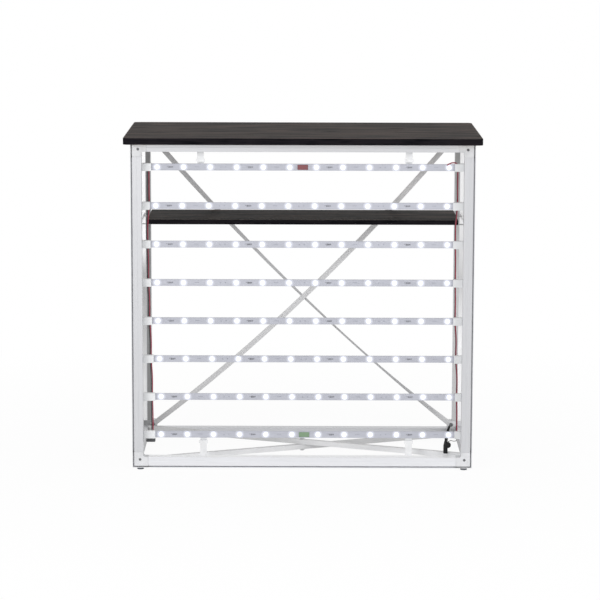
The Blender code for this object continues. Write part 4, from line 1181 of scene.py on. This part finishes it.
def light_bars():
    """Each bar: its section carried between the clips, with turned lenses spaced evenly about the middle."""
    outline = strip_outline()
    behind = outline[:, 0] > STRIP_THICK / 2
    lamp = (np.arange(LENS_COUNT) - (LENS_COUNT - 1) / 2) * LENS_PITCH
    lens = turned(LENS_ROWS, (0, 0, 0), 1, LENS_SIDES)
    first_points = lens[..., 0].size * np.arange(LENS_COUNT)[:, None, None]
    lens_faces = (grid_faces(len(LENS_ROWS), LENS_SIDES)[None] + first_points).reshape(-1, 4)
    lens_rim = np.array([radius for radius, _ in LENS_ROWS]) / LENS_ROWS[0][0]
    for node in BAR_NODES:
        low, high = node_box(node)
        middle = (low + high) / 2
        middle[1] = low[1] + CLIP_STEP
        half = ((high[0] - low[0]) / 2 - CLIP_LONG + STRIP_IN_CLIP) * AXES[0]
        rows, faces = solid_bar(outline, middle - half, middle + half, AXES[1], AXES[2])
        lamps_along = (rows[..., 0] - middle[0] - lamp[0]) / LENS_PITCH
        lamps_up = (rows[..., 2] - middle[2]) / LENS_PITCH + behind
        uv = np.stack([lamps_along, lamps_up], -1)
        fit(make_piece(f"{node}_strip", rows, faces, (strip_finish,), uv=uv), "frame", "light_bar", node)
        points = lens[None] + (middle + lamp[:, None] * AXES[0])[:, None, None]
        to_middle = np.broadcast_to((1 - lens_rim)[None, :, None], points.shape[:3])
        uv = np.stack([to_middle, to_middle * 0], -1)
        lenses = make_piece(f"{node}_lenses", points, lens_faces, (lens_finish,), uv=uv, smooth=40)
        fit(lenses, "frame", "light_bar")
        gap = middle + (lamp[:-1, None] + LENS_PITCH / 2) * AXES[0]
        small_parts(f"{node}_chips", gap[0::3], CHIPS, 1.1, chip_finish)
        small_parts(f"{node}_traces", gap[1::3], DASHES, 0.25, trace_finish)
        small_parts(f"{node}_pads", gap[2::3], PADS, 0.9, trace_finish)
        clips(node, low, high)


light_bars()

# Hangers: white plastic strips bent from behind the rail to behind the first and last bars, with a wide tab
# at the bend, clipped on without screws.
HANGER_EASE = 0.0005
HANGER_WHITE = (0.80, 0.805, 0.815)
hanger_finish = skinned("white moulded hanger", HANGER_WHITE, 0.5, contrast=0.07)
for hanger, *_ in each_node("hanger", LEVELS, SIDES):
    fit(eased_copy(hanger, HANGER_EASE, (hanger_finish,)), "frame", "hanger", hanger)

# Wire pairs: one red and one black PVC wire behind the clips on either side, soldered to each bar and
# swaying a little between them, the black one behind the red on the right. A short red jumper arcs over the
# highest bar.
WIRE_RADIUS = 0.0016
WIRE_SPACING = 0.0036
BLACK_BESIDE = {"left": -0.0036, "right": -0.00146}
WIRE_IN = 0.049
WIRE_SWAY = {
    "left": np.array([0.0005, -0.0035, -0.002, 0.0005, 0.004, 0.007, 0.008]),
    "right": np.array([-0.001, -0.0055, -0.0045, -0.0035, 0.000, 0.004, 0.005]),
}
WIRE_STEPS = 8
WIRE_SIDES = 12
WIRE_RED = (0.30, 0.018, 0.045)
WIRE_BLACK = (0.02, 0.018, 0.02)
JUMPER_RADIUS = 0.0018
JUMPER_ROUTE = [(0.4190, -0.2040, 0.0070), (0.4250, -0.2030, 0.0105), (0.4350, -0.2020, 0.0140)]
JUMPER_ROUTE += [(0.4450, -0.2010, 0.0130), (0.4515, -0.2000, 0.0080)]
wire_finish = {
    "red": skinned("red wire", WIRE_RED, 0.4, size=2000.0, contrast=0.2),
    "black": skinned("black wire", WIRE_BLACK, 0.45, size=2000.0, contrast=0.3),
}


def smooth_line(points, steps):
    """A curve through the points: cubic stretches whose slope at a point is half its neighbours' chord."""
    points = np.asarray(points, float)
    ends = np.vstack([2 * points[0] - points[1], points, 2 * points[-1] - points[-2]])
    before, start, end, after = ends[:-3, None], ends[1:-2, None], ends[2:-1, None], ends[3:, None]
    t = (np.arange(steps) / steps)[None, :, None]
    square = 2 * before - 5 * start + 4 * end - after
    cube = 3 * start - before - 3 * end + after
    curve = start + ((end - before) * t + square * t**2 + cube * t**3) / 2
    return np.vstack([curve.reshape(-1, 3), points[-1:]])


def round_wire(name, route, radius, finish):
    """A wire: a circle carried along the smooth line through its route, square to it, and capped."""
    line = smooth_line(route, WIRE_STEPS)
    along = unit(np.gradient(line, axis=0))
    side_1 = unit(np.cross(along, AXES[1]))
    side_2 = np.cross(along, side_1)
    turn = np.arange(WIRE_SIDES) / WIRE_SIDES * math.tau
    circle = np.cos(turn)[None, :, None] * side_1[:, None] + np.sin(turn)[None, :, None] * side_2[:, None]
    points = capped(line[:, None] + radius * circle)
    return make_piece(name, points, grid_faces(*points.shape[:2]), (finish,), smooth=50)


def wires():
    """Each wire, through its place at the bars and, halfway between them, its side's sways; then the jumper.

    At a bar the wire keeps the sway of the stretch above it.
    """
    heights = np.array([sum(node_box(node))[2] / 2 for node in BAR_NODES])
    halfway = np.append((heights[1:] + heights[:-1]) / 2, 0)
    z = np.stack([heights, halfway], -1).ravel()[:-1]
    from_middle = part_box("front_right_post")[1].x - WIRE_IN
    for side, sway in WIRE_SWAY.items():
        for colour, finish in wire_finish.items():
            node = f"{side}_{colour}_wire"
            beside = BLACK_BESIDE[side] if colour == "black" else 0.0
            middle = SIDES[side] * from_middle + WIRE_SPACING / 2 + beside
            at_bars = np.concatenate([sway[:1], sway])
            x = middle + np.stack([at_bars, np.append(sway, sway[-1])], -1).ravel()[:-1]
            y = np.full(len(x), sum(node_box(node))[1] / 2)
            wire = round_wire(f"{node}_pvc", np.stack([x, y, z], -1), WIRE_RADIUS, finish)
            fit(wire, "frame", f"{colour}_insulation", node)
    jumper = round_wire("jumper_wire", JUMPER_ROUTE + heights[0] * AXES[2], JUMPER_RADIUS, wire_finish["red"])
    fit(jumper, "frame", "red_insulation")


wires()

# Lead: a round black low-voltage cable. It comes out of the rear right corner block, hangs forward over the
# base bars, turns over behind the lowest bar and drops into its connector, which a thin wire ties to the
# bar's clip.
LEAD_DIAMETER = 0.006
CORD_GAP = 0.0003  # between a cord's end and what it goes into
TAIL_DIAMETER = 0.0018
CONNECTOR_RADIUS = 0.0065
CONNECTOR_LENGTH = 0.037
CONNECTOR_CHAMFER = 0.0008
CONNECTOR_STEPS = ((0.0006, 0.0112), (0, 0.0120), (0, 0.0255))  # in from the body's radius, down
CONNECTOR_STEPS += ((0.0005, 0.0258), (0.0005, 0.0266), (0, 0.0269))
CONNECTOR_GRIP = 0.011
GRIP_RIBS = 9
GRIP_TOP = 0.0036
GRIP_WIDENS = 0.0022
GRIP_RIB = 0.0003
SLEEVE_RADIUS = 0.0040
SLEEVE_DEPTH = 0.0060
SLEEVE_TAPER = 0.0002
BOSS_RADIUS = 0.009
BOSS_HALF = 0.005
BOSS_OUT = 0.007
BOSS_DROP = 0.012
BOSS_SIDES = 48
BOSS_KNURL = 0.05
CONNECTOR_BLACK = (0.0045, 0.0045, 0.0055)
TAIL_RED = (0.018, 0.007, 0.009)
lead_black = skinned("black cable", CONNECTOR_BLACK, 0.55, size=1400.0, contrast=0.35, shine=0.2)
connector_black = skinned(
    "black moulded connector", CONNECTOR_BLACK, 0.5, size=1200.0, contrast=0.35, shine=0.3
)
tail_red = skinned("dark red wire", TAIL_RED, 0.45, size=2000.0, contrast=0.2, shine=0.2)
LEAD_OUTLET = np.array([0.457, 0.213, 0.034])
LEAD_FROM_OUTLET = [(0, -CORD_GAP, 0), (-0.0005, -0.016, -0.0005), (-0.0025, -0.035, -0.0035)]
LEAD_FROM_OUTLET += [(-0.0065, -0.073, -0.0085), (-0.0115, -0.123, -0.0095), (-0.016, -0.183, -0.004)]
BAR_END = np.array([0.442, -0.200, 0.099])
LEAD_TO_BAR = [(-0.004, 0.170, -0.056), (-0.0065, 0.120, -0.037), (-0.0085, 0.089, -0.0145)]
LEAD_TO_BAR += [(-0.0080, 0.0615, -0.001), (-0.0055, 0.045, 0.0135), (-0.0045, 0.029, 0.0185)]
LEAD_TO_BAR += [(-0.0075, 0.014, 0.0145), (-0.0130, 0.007, 0.0055), (-0.0163, 0.007, -0.0065)]
LEAD_TO_BAR += [(-0.0169, 0.0087, -0.0167), (-0.017, 0.009, -0.021)]
LEAD_ROUTE = np.vstack([LEAD_OUTLET + LEAD_FROM_OUTLET, BAR_END + LEAD_TO_BAR])
CONNECTOR_TOP = LEAD_ROUTE[-1] - (0, 0, CORD_GAP)
TAIL_START = BAR_END + (0.0165, 0, -0.0118)
TAIL_FROM_START = [(0, 0, 0), (-0.0008, 0.0006, -0.004)]
TAIL_FROM_START += [(-0.0045, 0.0022, -0.0078), (-0.0105, 0.0045, -0.0088)]
TAIL_END = CONNECTOR_TOP + (CONNECTOR_RADIUS + CORD_GAP, 0, -0.0015)
TAIL_TO_END = [(0.0085, 0, 0.0028), (0.003, 0, 0.0004), (0, 0, 0)]
TAIL_ROUTE = np.vstack([TAIL_START + TAIL_FROM_START, TAIL_END + TAIL_TO_END])


def cable(name, route, diameter, finish):
    """A cable through its route: each point's handles lie a sixth of its neighbours' chord to either side."""
    ends = np.vstack([2 * route[0] - route[1], route, 2 * route[-1] - route[-2]])
    pull = (ends[2:] - ends[:-2]) / 6
    curve = bpy.data.curves.new(name, "CURVE")
    curve.dimensions = "3D"
    curve.bevel_depth = diameter / 2
    curve.bevel_resolution = 5
    curve.resolution_u = 8
    curve.use_fill_caps = True
    spline = curve.splines.new("BEZIER")
    spline.bezier_points.add(len(route) - 1)
    for side, places in (("co", route), ("handle_left", route - pull), ("handle_right", route + pull)):
        spline.bezier_points.foreach_set(side, places.ravel())
    curve.materials.append(finish)
    return in_scene(name, curve)


def connector():
    """The connector: a ribbed round body under a tapered cable grip, with a knurled locking nut on its side.

    The grip widens evenly, every other ring a little more. Every other point of the nut's rim is sunk.
    """
    wide, long = CONNECTOR_RADIUS, CONNECTOR_LENGTH
    grip = enumerate(np.linspace(0, 1, GRIP_RIBS))
    rows = [(0, 0)]
    rows += [(GRIP_TOP + GRIP_WIDENS * t + GRIP_RIB * (i % 2), -CONNECTOR_GRIP * t) for i, t in grip]
    rows += [(wide - inset, -down) for inset, down in CONNECTOR_STEPS]
    rows += [(wide, -long + CONNECTOR_CHAMFER), (wide - CONNECTOR_CHAMFER, -long)]
    sleeve_end = -long + SLEEVE_DEPTH
    rows += [(SLEEVE_RADIUS, -long), (SLEEVE_RADIUS - SLEEVE_TAPER, sleeve_end), (0, sleeve_end)]
    body = turned_piece("connector_body", rows, CONNECTOR_TOP, 2, 32, connector_black, 35)
    fit(body, "frame", "black_insulation", "power_connector")
    narrow, half = BOSS_RADIUS * 0.8, BOSS_HALF
    rows = [(0, -half), (narrow, -half), (BOSS_RADIUS, -half * 0.7)]
    rows += [(BOSS_RADIUS, half * 0.7), (narrow, half), (0, half)]
    middle = CONNECTOR_TOP + (BOSS_OUT, 0, -BOSS_DROP)
    points = turned(rows, middle, 1, BOSS_SIDES)
    knurl = 1 - BOSS_KNURL * (np.arange(BOSS_SIDES) % 2)
    points[2:4] = middle + (points[2:4] - middle) * np.where(np.arange(3) == 1, 1, knurl[None, :, None])
    nut = make_piece("connector_nut", points, grid_faces(len(rows), BOSS_SIDES), (connector_black,))
    fit(nut, "frame", "black_insulation")
    return body, nut


lead = cable("lead_cable", LEAD_ROUTE, LEAD_DIAMETER, lead_black)
fit(lead, "frame", "black_insulation", "power_lead")
tail = cable("tail_wire", TAIL_ROUTE, TAIL_DIAMETER, tail_red)
fit(tail, "frame", "red_insulation", "connector_tail")
connector()

# Terminal: a dark moulded plastic block with round edges under the left clip of the lowest bar, below the
# ends of the left-hand wires. It is pressed on from below.
TERMINAL_LONG = 0.027
TERMINAL_DEEP = 0.012
TERMINAL_TALL = 0.010
TERMINAL_ROUND = 0.0032
TERMINAL_SEAT = 0.0003
TERMINAL_GREY = (0.055, 0.057, 0.062)
terminal_finish = skinned("dark moulded terminal", TERMINAL_GREY, 0.5, size=1200.0, contrast=0.3)


def terminal():
    """A block with a rounded outline along and down, carried back through its depth."""
    outline = eased(rectangle(-TERMINAL_LONG, -TERMINAL_TALL, 0, 0), TERMINAL_ROUND, 6)
    start = node_box("light_bar_8")[0] + (CLIP_LONG, CLIP_EASE, -TERMINAL_SEAT)
    rows, faces = solid_bar(outline, start, start + TERMINAL_DEEP * AXES[1], AXES[0], AXES[2])
    block = make_piece("terminal_block", rows, faces, (terminal_finish,), smooth=40)
    fit(block, "frame", "black_insulation")


terminal()

# Tags: two blank slips of coloured paper tape, red on the highest bar and green on the lowest. They are
# stuck on the bars' middles, and their ends lift a little.
TAG_WIDE = 0.030
TAG_TALL = 0.0145
TAG_THICK = 0.0003
TAG_OUT = 0.0004
TAG_LIFT = 0.0010
TAG_CELLS = (13, 7)
TAGS = {  # bar, place along it, colour
    "red_tag": ("light_bar_1", -0.001, (0.21, 0.067, 0.074)),
    "green_tag": ("light_bar_8", -0.0024, (0.198, 0.30, 0.184)),
}


def tag(name, bar, along, colour):
    """A slip of tape: a flat sheet whose ends lift by the fourth power of the way out, with a thin edge."""
    low, high = node_box(bar)
    u, v = np.meshgrid(*[np.linspace(-1, 1, count) for count in TAG_CELLS], indexing="ij")
    x = (low[0] + high[0]) / 2 + along + u * TAG_WIDE / 2
    y = low[1] + CLIP_STEP - (TAG_OUT + TAG_LIFT * u**4)
    z = (low[2] + high[2]) / 2 + v * TAG_TALL / 2
    finish = skinned(f"{name} tape", colour, 0.5, size=700.0, contrast=0.18)
    faces = grid_faces(*TAG_CELLS, ring_columns=False)
    piece = make_piece(name, np.stack([x, y, z], -1), faces, (finish,), smooth=60)
    piece.modifiers.new("tape", "SOLIDIFY").thickness = TAG_THICK
    fit(piece, "frame", "light_bar")


for tag_name, tag_place in TAGS.items():
    tag(tag_name, *tag_place)
